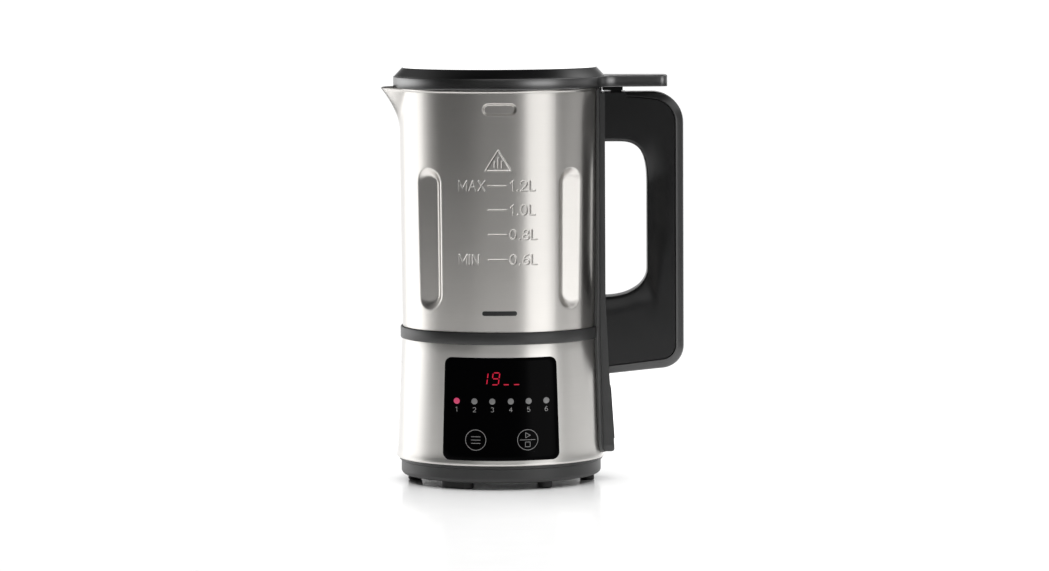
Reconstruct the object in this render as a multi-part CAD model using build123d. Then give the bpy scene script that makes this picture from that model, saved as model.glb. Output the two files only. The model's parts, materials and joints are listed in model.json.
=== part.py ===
"""Heated blender jug (soup maker), in millimetres, +Z up.

It is modelled about the jug's own axis. Every node is then shifted along X, so that the
stored origin is the middle of the whole object's footprint, on the surface it stands on.
The touch panel faces -Y, the handle is at +X and the spout at -X.
"""

from build123d import *
from math import atan2, cos, degrees, radians, sin, sqrt
import os

# --- driving dimensions -------------------------------------------------------------
SPOUT_TIP_X = -77.3
HANDLE_OUT_X = 119.0
SHIFT_X = -(SPOUT_TIP_X + HANDLE_OUT_X) / 2

# heights of the stacked pieces
FOOT_TOP = 4.4
PLINTH_FLOOR_TOP = 6.9
SKIRT_LOW = 16.0
PLINTH_TOP = 19.0
CHASSIS_LOW = 19.2
SKIRT_TOP = 93.5
BAND_TOP = 101.2
JUG_LOW = 98.0
JUG_TOP = 255.5
LID_LOW = 255.8
LID_RIM_TOP = 264.0
LID_TOP = 268.6

# radii of the round pieces
PLINTH_R, PLINTH_CORNER = 65.0, 3.0
PLINTH_SEAT_R, PLINTH_SEAT_LOW = 66.2, 13.4
SKIRT_R_LIP, SKIRT_R_LOW, SKIRT_R_TOP = 68.1, 67.4, 64.0
SKIRT_WALL = 0.7
BAND_R = 65.0
JUG_R_LOW, JUG_R_TOP = 63.6, 65.0
JUG_WALL = 0.8
LID_R = 68.8
LID_R_FLAT = 62.6

# pressed shapes in the jug's wall
# each flute's place round the jug, and the direction that its flat floor faces
FLUTES = ((45, 63), (135, 117), (225, 243), (315, 297))
FLUTE_WIDTH, FLUTE_HEIGHT, FLUTE_MID_Z, FLUTE_DEPTH = 20.4, 90.5, 160.2, 3.2
SLOT_WIDTH, SLOT_HEIGHT, SLOT_MID_Z = 17.5, 3.8, 243.7
LEVELS_Z = (147.7, 163.7, 179.4, 194.8)
LEVEL_X_LOW, LEVEL_X_HIGH, LEVEL_HEIGHT = -7.3, 4.1, 0.9
MARK_DEPTH = 0.25
BEAD_HEIGHT, BEAD_PROUD = 1.8, 0.8

# touch panel: a trapezoid wrapped on the skirt
PANEL_LOW_Z, PANEL_TOP_Z = 19.2, 85.2
PANEL_HALF_LOW, PANEL_HALF_TOP = 37.05, 35.15
PANEL_CORNER = 4.7
PANEL_PROUD, PANEL_DEPTH = 0.4, 0.8
LED_Z = 58.2
LED_X = (-28.6, -17.3, -5.9, 5.9, 17.3, 28.6)
KEY_Z, KEY_X = 33.5, 16.6
DISPLAY_Z, DISPLAY_X = 72.0, 0.7
BOARD_BACK_Y, BOARD_FRONT_Y = -50.0, -51.6

# drive line on the jug's axis
SHAFT_R, SHAFT_NOSE_R = 4.0, 3.0
RUNNING_FIT = 0.05
MOTOR_R, MOTOR_BORE_R = 27.0, 25.2
STATOR_BORE_R, ROTOR_R = 16.5, 16.1
BRACKET_LOW, BRACKET_TOP = 84.0, 86.5
BLADE_Z, BLADE_SHEET = 104.0, 1.5

# bottom screws
SCREW_ANGLES = (30, 150, 270)
SCREW_RING_R = 42.0

# rail behind the handle
RAIL_LOW, RAIL_TOP = 18.9, 252.0
RAIL_R_LOW, RAIL_R_TOP = 68.9, 66.5
COVER_FACE_X = 68.1
COVER_X_LOW = 73.75
HALF_GRIP = 15.0

# handle
GRIP_TOP, GRIP_BOTTOM = 252.4, 74.3
HOLE_LOW, HOLE_TOP, HOLE_X = 120.6, 220.4, 95.3
HOLE_R_LOW, HOLE_R_TOP = 17.0, 13.0
SPINE = 5.5
SPINE_START_X = 82.0
SPINE_R_TOP, SPINE_R_LOW = 20.0, 15.0
HEEL_Z = 69.4
STUD_HEIGHTS = (108.0, 236.0)

# plug and socket between the lid and the handle
SOCKET_X_LOW, SOCKET_X_HIGH, SOCKET_HALF = 70.6, 80.4, 10.4
SOCKET_WALL = 1.0
SOCKET_FLOOR = 246.0
CONTACT_Y = (-5.0, 0.0, 5.0)
CONTACT_X = 75.5

# lid
TAB_END_X, TAB_CORNER, TAB_NECK_R = 108.7, 5.5, 12.0
PLUG_R, PLUG_LOW = 61.6, 247.0
LID_SCREW_R = 45.0
PROBE_X, PROBE_LOW, PROBE_R = 38.0, 206.0, 2.5

# inlet, set square to the sloping face of the rail cover
INLET_Z = 43.75
INLET_TALL, INLET_WIDE, INLET_DEEP = 24.4, 16.4, 17.5
INLET_WALL = 2.2
INLET_RIM, INLET_RIM_PROUD = 4.5, 0.6


# --- helpers ------------------------------------------------------------------------
def turned(points):
    """A full turn about Z of an outline given as (radius, height) points."""
    return revolve(make_face(Polyline(*[(r, 0, z) for r, z in points], close=True)), Axis.Z)


def ring(r_in, r_out, z_low, z_high):
    return turned([(r_in, z_low), (r_out, z_low), (r_out, z_high), (r_in, z_high)])


def rod(radius, z_low, z_high, x=0.0, y=0.0):
    return Pos(x, y, (z_low + z_high) / 2) * Cylinder(radius, z_high - z_low)


def rod_x(radius, x_low, x_high, y, z):
    return Pos((x_low + x_high) / 2, y, z) * Rot(0, 90, 0) * Cylinder(radius, x_high - x_low)


def rod_y(radius, y_low, y_high, x, z):
    return Pos(x, (y_low + y_high) / 2, z) * Rot(90, 0, 0) * Cylinder(radius, y_high - y_low)


def block(x_low, x_high, y_low, y_high, z_low, z_high):
    middle = Pos((x_low + x_high) / 2, (y_low + y_high) / 2, (z_low + z_high) / 2)
    return middle * Box(x_high - x_low, y_high - y_low, z_high - z_low)


def slab_xz(points, radii, half_width):
    """A rounded XZ outline, given both sides of the middle plane."""
    corners = [(x, 0, z) for x, z in points]
    face = make_face(FilletPolyline(*corners, radius=radii, close=True))
    return extrude(Pos(0, -half_width, 0) * face, amount=2 * half_width, dir=(0, 1, 0))


def slab_yz(points, radii, x_low, x_high):
    """A rounded YZ outline, carried from x_low to x_high."""
    corners = [(x_low, y, z) for y, z in points]
    face = make_face(FilletPolyline(*corners, radius=radii, close=True))
    return extrude(face, amount=x_high - x_low, dir=(1, 0, 0))


def around(angle, radius, shape):
    """The shape moved out from the axis to a radius, at an angle from +X."""
    return Rot(0, 0, angle) * Pos(radius, 0, 0) * shape


def fused(shapes):
    first, *rest = shapes
    for shape in rest:
        first = first + shape
    return first


def group(shapes):
    return Compound([solid for shape in shapes for solid in shape.solids()])


def between(z, z_low, z_high, low, high):
    return low + (high - low) * (z - z_low) / (z_high - z_low)


def jug_r(z):
    return between(z, BAND_TOP, JUG_TOP, JUG_R_LOW, JUG_R_TOP)


def skirt_r(z):
    return between(z, SKIRT_LOW + 2.2, SKIRT_TOP, SKIRT_R_LOW, SKIRT_R_TOP)


def rail_r(z):
    return between(z, RAIL_LOW, SKIRT_TOP, RAIL_R_LOW, RAIL_R_TOP) if z < SKIRT_TOP else RAIL_R_TOP


def cover_x(z):
    """X of the rail cover's outer face, which slopes out below the handle's gap."""
    if z >= HOLE_LOW:
        return COVER_FACE_X
    return between(z, HOLE_LOW, HEEL_Z, COVER_FACE_X, 70.4) if z > HEEL_Z else \
        between(z, HEEL_Z, RAIL_LOW, 70.4, COVER_X_LOW)


# --- jug ----------------------------------------------------------------------------
def spout_horn(inset):
    """The pouring lip: circles that grow and move out, from the wall up to the rim."""
    sections = ((229.0, 5.0, 0.4), (243.0, 11.0, -3.9), (JUG_TOP, 18.0, -(-SPOUT_TIP_X - JUG_R_TOP)))
    faces = []
    for z, radius, beyond in sections:
        centre_x = -jug_r(z) + beyond + radius
        faces.append(Pos(centre_x, 0, z) * Circle(radius - inset).face())
    return loft(faces)


def outward(angle):
    return Vector(cos(radians(angle)), sin(radians(angle)), 0)


def flute_press(angle, facing, grow):
    """The upright slot-shaped press that pushes one flute into the wall.

    Its flat floor doesn't face straight out, so one side of the flute is deeper.
    """
    middle = outward(angle) * (jug_r(FLUTE_MID_Z) - FLUTE_DEPTH) - outward(facing) * grow
    plane = Plane(origin=middle + Vector(0, 0, FLUTE_MID_Z), x_dir=(0, 0, 1), z_dir=outward(facing))
    outline = SlotOverall(FLUTE_HEIGHT + 2 * grow, FLUTE_WIDTH + 2 * grow)
    return extrude(plane * outline, amount=FLUTE_DEPTH * 3)


def front_mark(x_low, x_high, z_low, z_high):
    """A shallow engraving that follows the round wall at the front of the jug."""
    middle_r = jug_r((z_low + z_high) / 2)
    band = ring(middle_r - MARK_DEPTH, middle_r + 1, z_low, z_high)
    return band & block(x_low, x_high, -JUG_R_TOP - 2, 0, z_low, z_high)


def jug_vessel():
    low_r, top_r = jug_r(JUG_LOW), jug_r(JUG_TOP)
    corner = 1.4
    outside = turned([(0, JUG_LOW), (low_r - corner, JUG_LOW), (low_r, JUG_LOW + corner),
                      (top_r, JUG_TOP), (0, JUG_TOP)])
    floor = JUG_LOW + JUG_WALL
    inside = turned([(0, floor), (low_r - corner - JUG_WALL / 2, floor), (low_r - JUG_WALL, floor + corner),
                     (top_r - JUG_WALL, JUG_TOP), (0, JUG_TOP)])
    bead = ring(top_r - JUG_WALL, top_r + BEAD_PROUD, JUG_TOP - BEAD_HEIGHT, JUG_TOP)
    outside = outside + spout_horn(0) + bead
    inside = inside + spout_horn(JUG_WALL)
    for angle, facing in FLUTES:
        outside = outside - flute_press(angle, facing, 0)
        inside = inside - flute_press(angle, facing, JUG_WALL)
    vessel = outside - inside - rod(8.0, JUG_LOW - 1, floor + 1)
    for z in LEVELS_Z:
        half = LEVEL_HEIGHT / 2
        vessel = vessel - front_mark(LEVEL_X_LOW, LEVEL_X_HIGH, z - half, z + half)
    slot_z = (SLOT_MID_Z - SLOT_HEIGHT / 2, SLOT_MID_Z + SLOT_HEIGHT / 2)
    return vessel - front_mark(-SLOT_WIDTH / 2, SLOT_WIDTH / 2, *slot_z)


def heater_plate():
    return ring(11.3, 50.0, 94.8, 97.9)


def heating_element():
    """A sheathed ring below the plate, open at one side, with two terminals that turn down."""
    ring_r, sheath_r, mid_z, sweep = 38.0, 3.3, 91.4, 320
    section = Pos(ring_r, 0, mid_z) * Rot(90, 0, 0) * Circle(sheath_r).face()
    coil = revolve(section, Axis.Z, sweep)
    legs = [around(angle, ring_r, rod(2.0, 87.2, mid_z)) for angle in (3, sweep - 3)]
    return fused([coil] + legs)


def temperature_probe():
    return fused([rod(4.0, 90.0, 94.7, 22, 6), rod(2.4, 87.0, 90.0, 22, 6)])


def thermal_cutout():
    return fused([rod(8.0, 90.5, 94.7, -22, 8), rod(5.0, 87.6, 90.5, -22, 8)])


def decor_band():
    return turned([(58, SKIRT_TOP), (BAND_R, SKIRT_TOP), (BAND_R, BAND_TOP), (63.8, BAND_TOP),
                   (63.8, 97.0), (58, 97.0)])


def jug_gasket():
    return ring(58.4, 61.9, 97.0, JUG_LOW)


# --- base ---------------------------------------------------------------------------
def panel_outline(grow):
    """The panel's trapezoid in the XZ plane, as a prism through the front of the base."""
    low, high = PANEL_HALF_LOW + grow, PANEL_HALF_TOP + grow
    bottom, top = PANEL_LOW_Z - grow, PANEL_TOP_Z + grow
    corners = [(-low, 0, bottom), (low, 0, bottom), (high, 0, top), (-high, 0, top)]
    face = make_face(FilletPolyline(*corners, radius=PANEL_CORNER + grow, close=True))
    return extrude(face, amount=80, dir=(0, -1, 0))


def cone_shell(out_offset, in_offset):
    """A thin shell that runs parallel to the skirt, given by two offsets from its face."""
    low, high = PANEL_LOW_Z - 2, PANEL_TOP_Z + 2
    return turned([(skirt_r(low) + in_offset, low), (skirt_r(low) + out_offset, low),
                   (skirt_r(high) + out_offset, high), (skirt_r(high) + in_offset, high)])


def inlet_place():
    """Local frame of the inlet: Z out of the cover's face, X up along it."""
    slope = atan2(cover_x(RAIL_LOW) - cover_x(HEEL_Z), HEEL_Z - RAIL_LOW)
    return Plane(origin=(cover_x(INLET_Z), 0, INLET_Z), x_dir=(-sin(slope), 0, cos(slope)),
                 z_dir=(cos(slope), 0, sin(slope)))


def inlet_prism(tall, wide, from_depth, to_height, corner):
    outline = RectangleRounded(tall, wide, corner)
    return extrude(inlet_place().offset(from_depth) * outline, amount=to_height - from_depth)


def inlet_window(clearance):
    tall, wide = INLET_TALL + 2 * INLET_WALL + clearance, INLET_WIDE + 2 * INLET_WALL + clearance
    return inlet_prism(tall, wide, -30, 10, 2)


def base_skirt():
    lip_z, wall = SKIRT_LOW + 1.2, SKIRT_WALL
    cone_z = SKIRT_LOW + 2.2
    shell = turned([(SKIRT_R_LIP - wall, SKIRT_LOW), (SKIRT_R_LIP, SKIRT_LOW), (SKIRT_R_LIP, lip_z),
                    (SKIRT_R_LOW, cone_z), (SKIRT_R_TOP, SKIRT_TOP), (SKIRT_R_TOP - wall, SKIRT_TOP),
                    (SKIRT_R_LOW - wall, cone_z), (SKIRT_R_LOW - wall, SKIRT_LOW)])
    return shell - panel_outline(0.15) - inlet_window(2.0)


def base_chassis():
    """The plastic frame inside the skirt: wall, top ring, motor ledge, bosses and board ribs."""
    gap, wall = 1.3, 2.0

    def out_r(z):
        return skirt_r(z) - gap

    top = SKIRT_TOP - 0.1
    shell = turned([(out_r(CHASSIS_LOW) - wall, CHASSIS_LOW), (out_r(CHASSIS_LOW), CHASSIS_LOW),
                    (out_r(top), top), (55, top), (55, 91.0), (out_r(91) - wall, 91.0),
                    (out_r(84) - wall, 84.0), (56.5, 84.0), (56.5, 81.5), (out_r(81.5) - wall, 81.5)])
    for angle in SCREW_ANGLES:
        reach = out_r(CHASSIS_LOW) - 1 - SCREW_RING_R
        rib = block(0, reach, -1.5, 1.5, CHASSIS_LOW, 21.5)
        shell = shell + around(angle, SCREW_RING_R, rod(4.5, CHASSIS_LOW, 34) + rib)
    core = turned([(0, CHASSIS_LOW), (out_r(CHASSIS_LOW) - 0.5, CHASSIS_LOW), (out_r(top) - 0.5, top), (0, top)])
    for side in (-1, 1):
        near, far = sorted((side * 32.2, side * 35.0))
        shell = shell + (block(near, far, -60, -46.0, CHASSIS_LOW, 79) & core)
        near, far = sorted((side * 34.2, side * 37.0))
        shell = shell + (block(near, far, 42.0, 60, CHASSIS_LOW, 80) & core)
    for angle in SCREW_ANGLES:
        shell = shell - around(angle, SCREW_RING_R, rod(1.6, CHASSIS_LOW - 1, 31))
    return shell - block(-30.5, 30.5, -70, -50, 23, 80) - inlet_window(2.0)


def plinth():
    """The plastic cup that closes the base: a soft lower corner and a wider seat for the skirt."""
    wall, floor = 2.2, PLINTH_FLOOR_TOP
    cup = turned([(0, FOOT_TOP), (PLINTH_R, FOOT_TOP), (PLINTH_R, PLINTH_SEAT_LOW),
                  (PLINTH_SEAT_R, PLINTH_SEAT_LOW + 0.8), (PLINTH_SEAT_R, PLINTH_TOP),
                  (PLINTH_SEAT_R - wall, PLINTH_TOP), (PLINTH_R - wall, floor), (0, floor)])
    cup = fillet(cup.edges().group_by(Axis.Z)[0].sort_by(Edge.length)[-1], PLINTH_CORNER)
    for angle in SCREW_ANGLES:
        cup = cup + around(angle, SCREW_RING_R, rod(5.5, FOOT_TOP, PLINTH_TOP))
        cup = cup - around(angle, SCREW_RING_R, rod(4.0, FOOT_TOP - 1, 9.6))
        cup = cup - around(angle, SCREW_RING_R, rod(2.0, 9, PLINTH_TOP + 1))
    slot = block(0, 17, -1.5, 1.5, FOOT_TOP - 1, floor + 1)
    for step in range(16):
        cup = cup - around(step * 22.5 + 11.25, 12, slot)
    return cup


def feet():
    """Six rubber feet on one circle: three wide pads and three small round ones in turn."""
    foot_r, soft_edge = 56.0, 0.8
    pads = []
    for step in range(6):
        turn = -120 + 60 * step
        if step % 2 == 0:
            shape = extrude(RectangleRounded(9, 22, 4.4), amount=FOOT_TOP)
        else:
            shape = extrude(Circle(4.6), amount=FOOT_TOP)
        shape = chamfer(shape.faces().sort_by(Axis.Z)[0].edges(), soft_edge)
        pads.append(around(turn, foot_r, shape))
    return group(pads)


def pan_screw(head_r, head_h, shank_r, length):
    """A screw that points up: its head below the origin plane, its shank above."""
    head = Pos(0, 0, -head_h / 2) * Cylinder(head_r, head_h)
    drive = extrude(Pos(0, 0, -head_h) * RegularPolygon(head_r * 0.45, 6), amount=head_h * 0.6)
    return head - drive + Pos(0, 0, length / 2) * Cylinder(shank_r, length)


def bottom_screws():
    screw = Pos(0, 0, 9.6) * pan_screw(3.6, 2.2, 1.6, 20.0)
    return group([around(angle, SCREW_RING_R, screw) for angle in SCREW_ANGLES])


# --- panel and electronics ----------------------------------------------------------
def touch_panel():
    return cone_shell(PANEL_PROUD, -PANEL_DEPTH) & panel_outline(0)


def panel_gasket():
    return (cone_shell(-PANEL_DEPTH - 0.05, -PANEL_DEPTH - 0.45) & panel_outline(-0.4)) - panel_outline(-3.9)


def control_board():
    board = block(-32, 32, BOARD_FRONT_Y, BOARD_BACK_Y, 23.5, 78.5)
    chip = block(-6, 6, BOARD_BACK_Y, -48.6, 40, 52)
    header = block(14, 26, BOARD_BACK_Y, -45.0, 28, 32)
    return fused([board, chip, header])


def display_module():
    return block(DISPLAY_X - 15, DISPLAY_X + 15, -61.8, BOARD_FRONT_Y, DISPLAY_Z - 6, DISPLAY_Z + 6)


def indicator_leds():
    return group([rod_y(1.5, -57.0, BOARD_FRONT_Y, x, LED_Z) for x in LED_X])


def touch_springs():
    return group([rod_y(5.0, -61.6, BOARD_FRONT_Y, side * KEY_X, KEY_Z)
                  - rod_y(3.6, -62, BOARD_FRONT_Y + 1, side * KEY_X, KEY_Z) for side in (-1, 1)])


def power_board():
    return block(-34, 34, 44.0, 45.6, 24, 80)


def board_parts():
    """Transformer, relay and capacitor that stand on the power board."""
    transformer = block(-24, -2, 31, 44.0, 48, 72)
    relay = block(4, 24, 31.5, 44.0, 54, 72)
    capacitor = rod_y(6.0, 30.0, 44.0, 14, 36)
    return group([transformer, relay, capacitor])


# --- drive line ---------------------------------------------------------------------
def motor_housing():
    can = ring(MOTOR_BORE_R, MOTOR_R, 30, BRACKET_LOW) + ring(12, MOTOR_BORE_R + 0.5, 82, BRACKET_LOW)
    for angle in range(0, 360, 60):
        can = can - around(angle, 0, rod_x(4.0, 20, 30, 0, 75))
    for angle in range(45, 360, 90):
        can = can - around(angle, 18, rod(1.75, 81, BRACKET_LOW + 1))
    return can


def motor_end_cap():
    cap = ring(7.0, MOTOR_R, 27, 30)
    for angle in range(30, 360, 60):
        cap = cap - around(angle, 17, rod(4.0, 26, 31))
    return cap


def motor_stator():
    core = ring(STATOR_BORE_R, MOTOR_BORE_R - 0.1, 42, 68)
    for angle in (45, 135, 225, 315):
        core = core - around(angle, 20, block(-1.6, 1.6, -3.5, 3.5, 40, 70))
    return core


def motor_bracket():
    plate = ring(9.0, 60.8, BRACKET_LOW, BRACKET_TOP)
    for angle in range(0, 360, 45):
        plate = plate - around(angle + 22.5, 44, rod(7.0, BRACKET_LOW - 1, BRACKET_TOP + 1))
    for angle in range(45, 360, 90):
        plate = plate - around(angle, 18, rod(1.75, BRACKET_LOW - 1, BRACKET_TOP + 1))
    return plate


def motor_screws():
    screw = Pos(0, 0, BRACKET_TOP) * Rot(180, 0, 0) * pan_screw(3.2, 2.0, 1.75, 4.4)
    return group([around(angle, 18, screw) for angle in range(45, 360, 90)])


def bearing_top():
    return ring(SHAFT_R + RUNNING_FIT, 9.0, 82.2, 88.5)


def bearing_bottom():
    return ring(SHAFT_R + RUNNING_FIT, 7.0, 26.6, 31.4)


def shaft_seal():
    bore = SHAFT_R + RUNNING_FIT
    floor = JUG_LOW + JUG_WALL
    return turned([(bore, 95.4), (11, 95.4), (11, JUG_LOW), (8, JUG_LOW), (8, floor), (11, floor),
                   (11, 99.9), (7, 101.8), (bore, 101.8)])


def carbon_brushes():
    return group([around(angle, 0, block(9.4, MOTOR_BORE_R - 0.4, -3, 3, 33, 39)) for angle in (90, 270)])


def blade_shaft():
    return turned([(0, 13), (SHAFT_R, 13), (SHAFT_R, BLADE_Z), (SHAFT_NOSE_R, BLADE_Z),
                   (SHAFT_NOSE_R, 111), (0, 111)])


def motor_rotor():
    core = ring(SHAFT_R, ROTOR_R, 43, 67)
    for angle in range(0, 360, 30):
        core = core - around(angle, ROTOR_R, block(-2.5, 1, -0.9, 0.9, 42, 68))
    return core


def commutator():
    return ring(SHAFT_R, 9.0, 32.4, 39.6)


def cooling_fan():
    fan = ring(SHAFT_R, 8.0, 15, 23) + ring(7.5, 25.0, 21.6, 23)
    vane = Pos(16, 0, 18.6) * Rot(0, 0, 18) * Box(17.5, 1.4, 6.4)
    for step in range(9):
        fan = fan + Rot(0, 0, 40 * step) * vane
    return fan


def blade_strip(z_low, rise_angle):
    """A stamped two-armed blade: flat in the middle, both arms bent by the same angle."""
    bend_x, arm, wide = 9.0, 17.0, 10.0
    strip = Box(2 * bend_x, wide + 2, BLADE_SHEET)
    tip = Polyline((0, -wide / 2), (arm - 6, -wide / 2), (arm, wide / 2 - 1), (arm - 2, wide / 2),
                   (0, wide / 2), close=True)
    wing = extrude(make_face(tip), amount=BLADE_SHEET / 2, both=True)
    wing = Pos(bend_x - 0.6, 0, 0) * Rot(0, -rise_angle, 0) * wing
    body = strip + wing + Rot(0, 0, 180) * wing
    return Pos(0, 0, z_low + BLADE_SHEET / 2) * (body - Cylinder(SHAFT_NOSE_R, 2 * BLADE_SHEET))


def blade_lower():
    return blade_strip(BLADE_Z, 8)


def blade_upper():
    return Rot(0, 0, 90) * blade_strip(BLADE_Z + BLADE_SHEET, 32)


def blade_nut():
    low = BLADE_Z + 2 * BLADE_SHEET
    nut = extrude(Pos(0, 0, low) * RegularPolygon(5.8, 6), amount=5.2)
    dome = Pos(0, 0, low + 5.2) * Sphere(4.4)
    return (nut + dome) - rod(SHAFT_NOSE_R, low - 1, 111.2)


# --- rail and inlet -----------------------------------------------------------------
def rail_outline(half_low, half_mid, half_top, corner):
    points = [(-half_low, RAIL_LOW), (half_low, RAIL_LOW), (half_mid, SKIRT_TOP), (half_top, 130),
              (half_top, RAIL_TOP), (-half_top, RAIL_TOP), (-half_top, 130), (-half_mid, SKIRT_TOP)]
    return slab_yz(points, [corner, corner, 0, 0, 0, 0, 0, 0], 40, 90)


def stud_holes():
    return fused([rod_x(2.2, 60, 80, 0, z) for z in STUD_HEIGHTS])


def rail_flange():
    """The strip that follows the wall, from the base up past the band to the rim."""
    gap = 0.15
    shell = turned([(skirt_r(RAIL_LOW) + gap, RAIL_LOW), (RAIL_R_LOW, RAIL_LOW), (RAIL_R_TOP, SKIRT_TOP),
                    (RAIL_R_TOP, RAIL_TOP), (jug_r(RAIL_TOP) + gap, RAIL_TOP),
                    (jug_r(BAND_TOP + gap) + gap, BAND_TOP + gap), (BAND_R + gap, BAND_TOP + gap),
                    (BAND_R + gap, SKIRT_TOP - gap), (skirt_r(SKIRT_TOP) + gap, SKIRT_TOP - gap)])
    strip = shell & rail_outline(24.5, 21.5, 18.8, 8)
    return strip - inlet_window(2.0) - stud_holes()


def rail_cover():
    """The raised cover on the strip. Its face slopes out towards the base."""
    face = [(55, RAIL_LOW), (COVER_X_LOW, RAIL_LOW), (cover_x(HEEL_Z), HEEL_Z), (COVER_FACE_X, HOLE_LOW),
            (COVER_FACE_X, RAIL_TOP), (55, RAIL_TOP)]
    body = slab_xz(face, [0, 2.5, 0, 0, 0, 0], 30) & rail_outline(18.0, 15.6, HALF_GRIP, 5)
    low = RAIL_LOW - 1
    core = turned([(0, low), (rail_r(low) + 0.1, low), (RAIL_R_TOP + 0.1, SKIRT_TOP),
                   (RAIL_R_TOP + 0.1, RAIL_TOP + 1), (0, RAIL_TOP + 1)])
    rim_seat = inlet_prism(INLET_TALL + 2 * INLET_RIM + 0.2, INLET_WIDE + 2 * INLET_RIM + 0.2, -0.9, 10, 3.1)
    return body - core - inlet_window(0.3) - rim_seat - stud_holes()


def inlet_body():
    """A socket for a detachable mains lead: rim, box, and a recess with two cut corners."""
    back = -INLET_DEEP - INLET_WALL
    box = inlet_prism(INLET_TALL + 2 * INLET_WALL, INLET_WIDE + 2 * INLET_WALL, back, 0, 1.8)
    rim = inlet_prism(INLET_TALL + 2 * INLET_RIM, INLET_WIDE + 2 * INLET_RIM, -0.8, INLET_RIM_PROUD, 3)
    half_tall, half_wide, cut = INLET_TALL / 2, INLET_WIDE / 2, 4.5
    outline = Polyline((-half_tall, -half_wide), (half_tall, -half_wide), (half_tall, half_wide - cut),
                       (half_tall - cut, half_wide), (cut - half_tall, half_wide),
                       (-half_tall, half_wide - cut), close=True)
    recess = extrude(inlet_place().offset(-INLET_DEEP) * make_face(outline), amount=INLET_DEEP + 5)
    return box + rim - recess


def inlet_pins():
    pins = []
    for up, side in ((-7, -2), (7, -2), (0, 2)):
        spot = inlet_place().offset(-INLET_DEEP) * Pos(up, side)
        pins.append(extrude(spot * Rectangle(2.0, 4.0), amount=12.0))
    return group(pins)


# --- handle -------------------------------------------------------------------------
def spine_line(inset):
    """Corner points of the handle's outer edge, from the top seam round to the heel."""
    right = HANDLE_OUT_X - inset
    top, heel = GRIP_TOP - inset, HEEL_Z + inset
    return [(SPINE_START_X, top), (right, top), (right, GRIP_BOTTOM + inset * 1.05), (cover_x(heel), heel)]


def handle_spine():
    outer, inner = spine_line(0), spine_line(SPINE)
    radii = [0, SPINE_R_TOP, SPINE_R_LOW, 0, 0, SPINE_R_LOW - SPINE, SPINE_R_TOP - SPINE, 0]
    return slab_xz(outer + inner[::-1], radii, HALF_GRIP) - nut_channels()


def nut_channels():
    """Bores for the driver that tightens the nuts, reached before the spine goes on."""
    return fused([rod_x(5.0, 74.0, HANDLE_OUT_X - SPINE + 1.5, 0, z) for z in STUD_HEIGHTS])


def handle_grip():
    seam = spine_line(SPINE)
    points = [(COVER_FACE_X, HOLE_TOP), (COVER_FACE_X, GRIP_TOP), (SPINE_START_X, GRIP_TOP)] + seam \
        + [(COVER_FACE_X, HOLE_LOW), (HOLE_X, HOLE_LOW), (HOLE_X, HOLE_TOP)]
    radii = [0, 0, 0, 0, SPINE_R_TOP - SPINE, SPINE_R_LOW - SPINE, 0, 0, HOLE_R_LOW, HOLE_R_TOP]
    grip = slab_xz(points, radii, HALF_GRIP)
    pocket = block(SOCKET_X_LOW - 0.1, SOCKET_X_HIGH + 0.1, -SOCKET_HALF - 0.1, SOCKET_HALF + 0.1,
                   SOCKET_FLOOR - SOCKET_WALL, GRIP_TOP + 1)
    return grip - pocket - stud_holes() - nut_channels()


def handle_studs():
    """Threaded studs that stand on the jug's wall and carry the handle."""
    return group([rod_x(2.0, jug_r(z) + 0.02, 79.0, 0, z) for z in STUD_HEIGHTS])


def handle_nuts():
    nut = extrude(RegularPolygon(4.0, 6), amount=3.2) - Cylinder(2.0, 10)
    return group([Pos(74.0, 0, z) * Rot(0, 90, 0) * nut for z in STUD_HEIGHTS])


def connector_socket():
    box = block(SOCKET_X_LOW, SOCKET_X_HIGH, -SOCKET_HALF, SOCKET_HALF, SOCKET_FLOOR - SOCKET_WALL, GRIP_TOP)
    return box - block(SOCKET_X_LOW + SOCKET_WALL, SOCKET_X_HIGH - SOCKET_WALL, -SOCKET_HALF + SOCKET_WALL,
                       SOCKET_HALF - SOCKET_WALL, SOCKET_FLOOR, GRIP_TOP + 1)


def socket_contacts():
    return group([rod(1.0, SOCKET_FLOOR, 250.3, CONTACT_X, y) for y in CONTACT_Y])


# --- lid ----------------------------------------------------------------------------
def lid_plan():
    """Plan of the lid's rim with its tab, necked into the circle by two hollow curves."""
    plan = Circle(LID_R) + Pos(TAB_END_X / 2, 0) * Rectangle(TAB_END_X, 2 * HALF_GRIP)
    necks = [v for v in plan.vertices() if 60 < v.X < 75]
    plan = fillet(necks, TAB_NECK_R)
    ends = [v for v in plan.vertices() if v.X > TAB_END_X - 1]
    return fillet(ends, TAB_CORNER)


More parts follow.
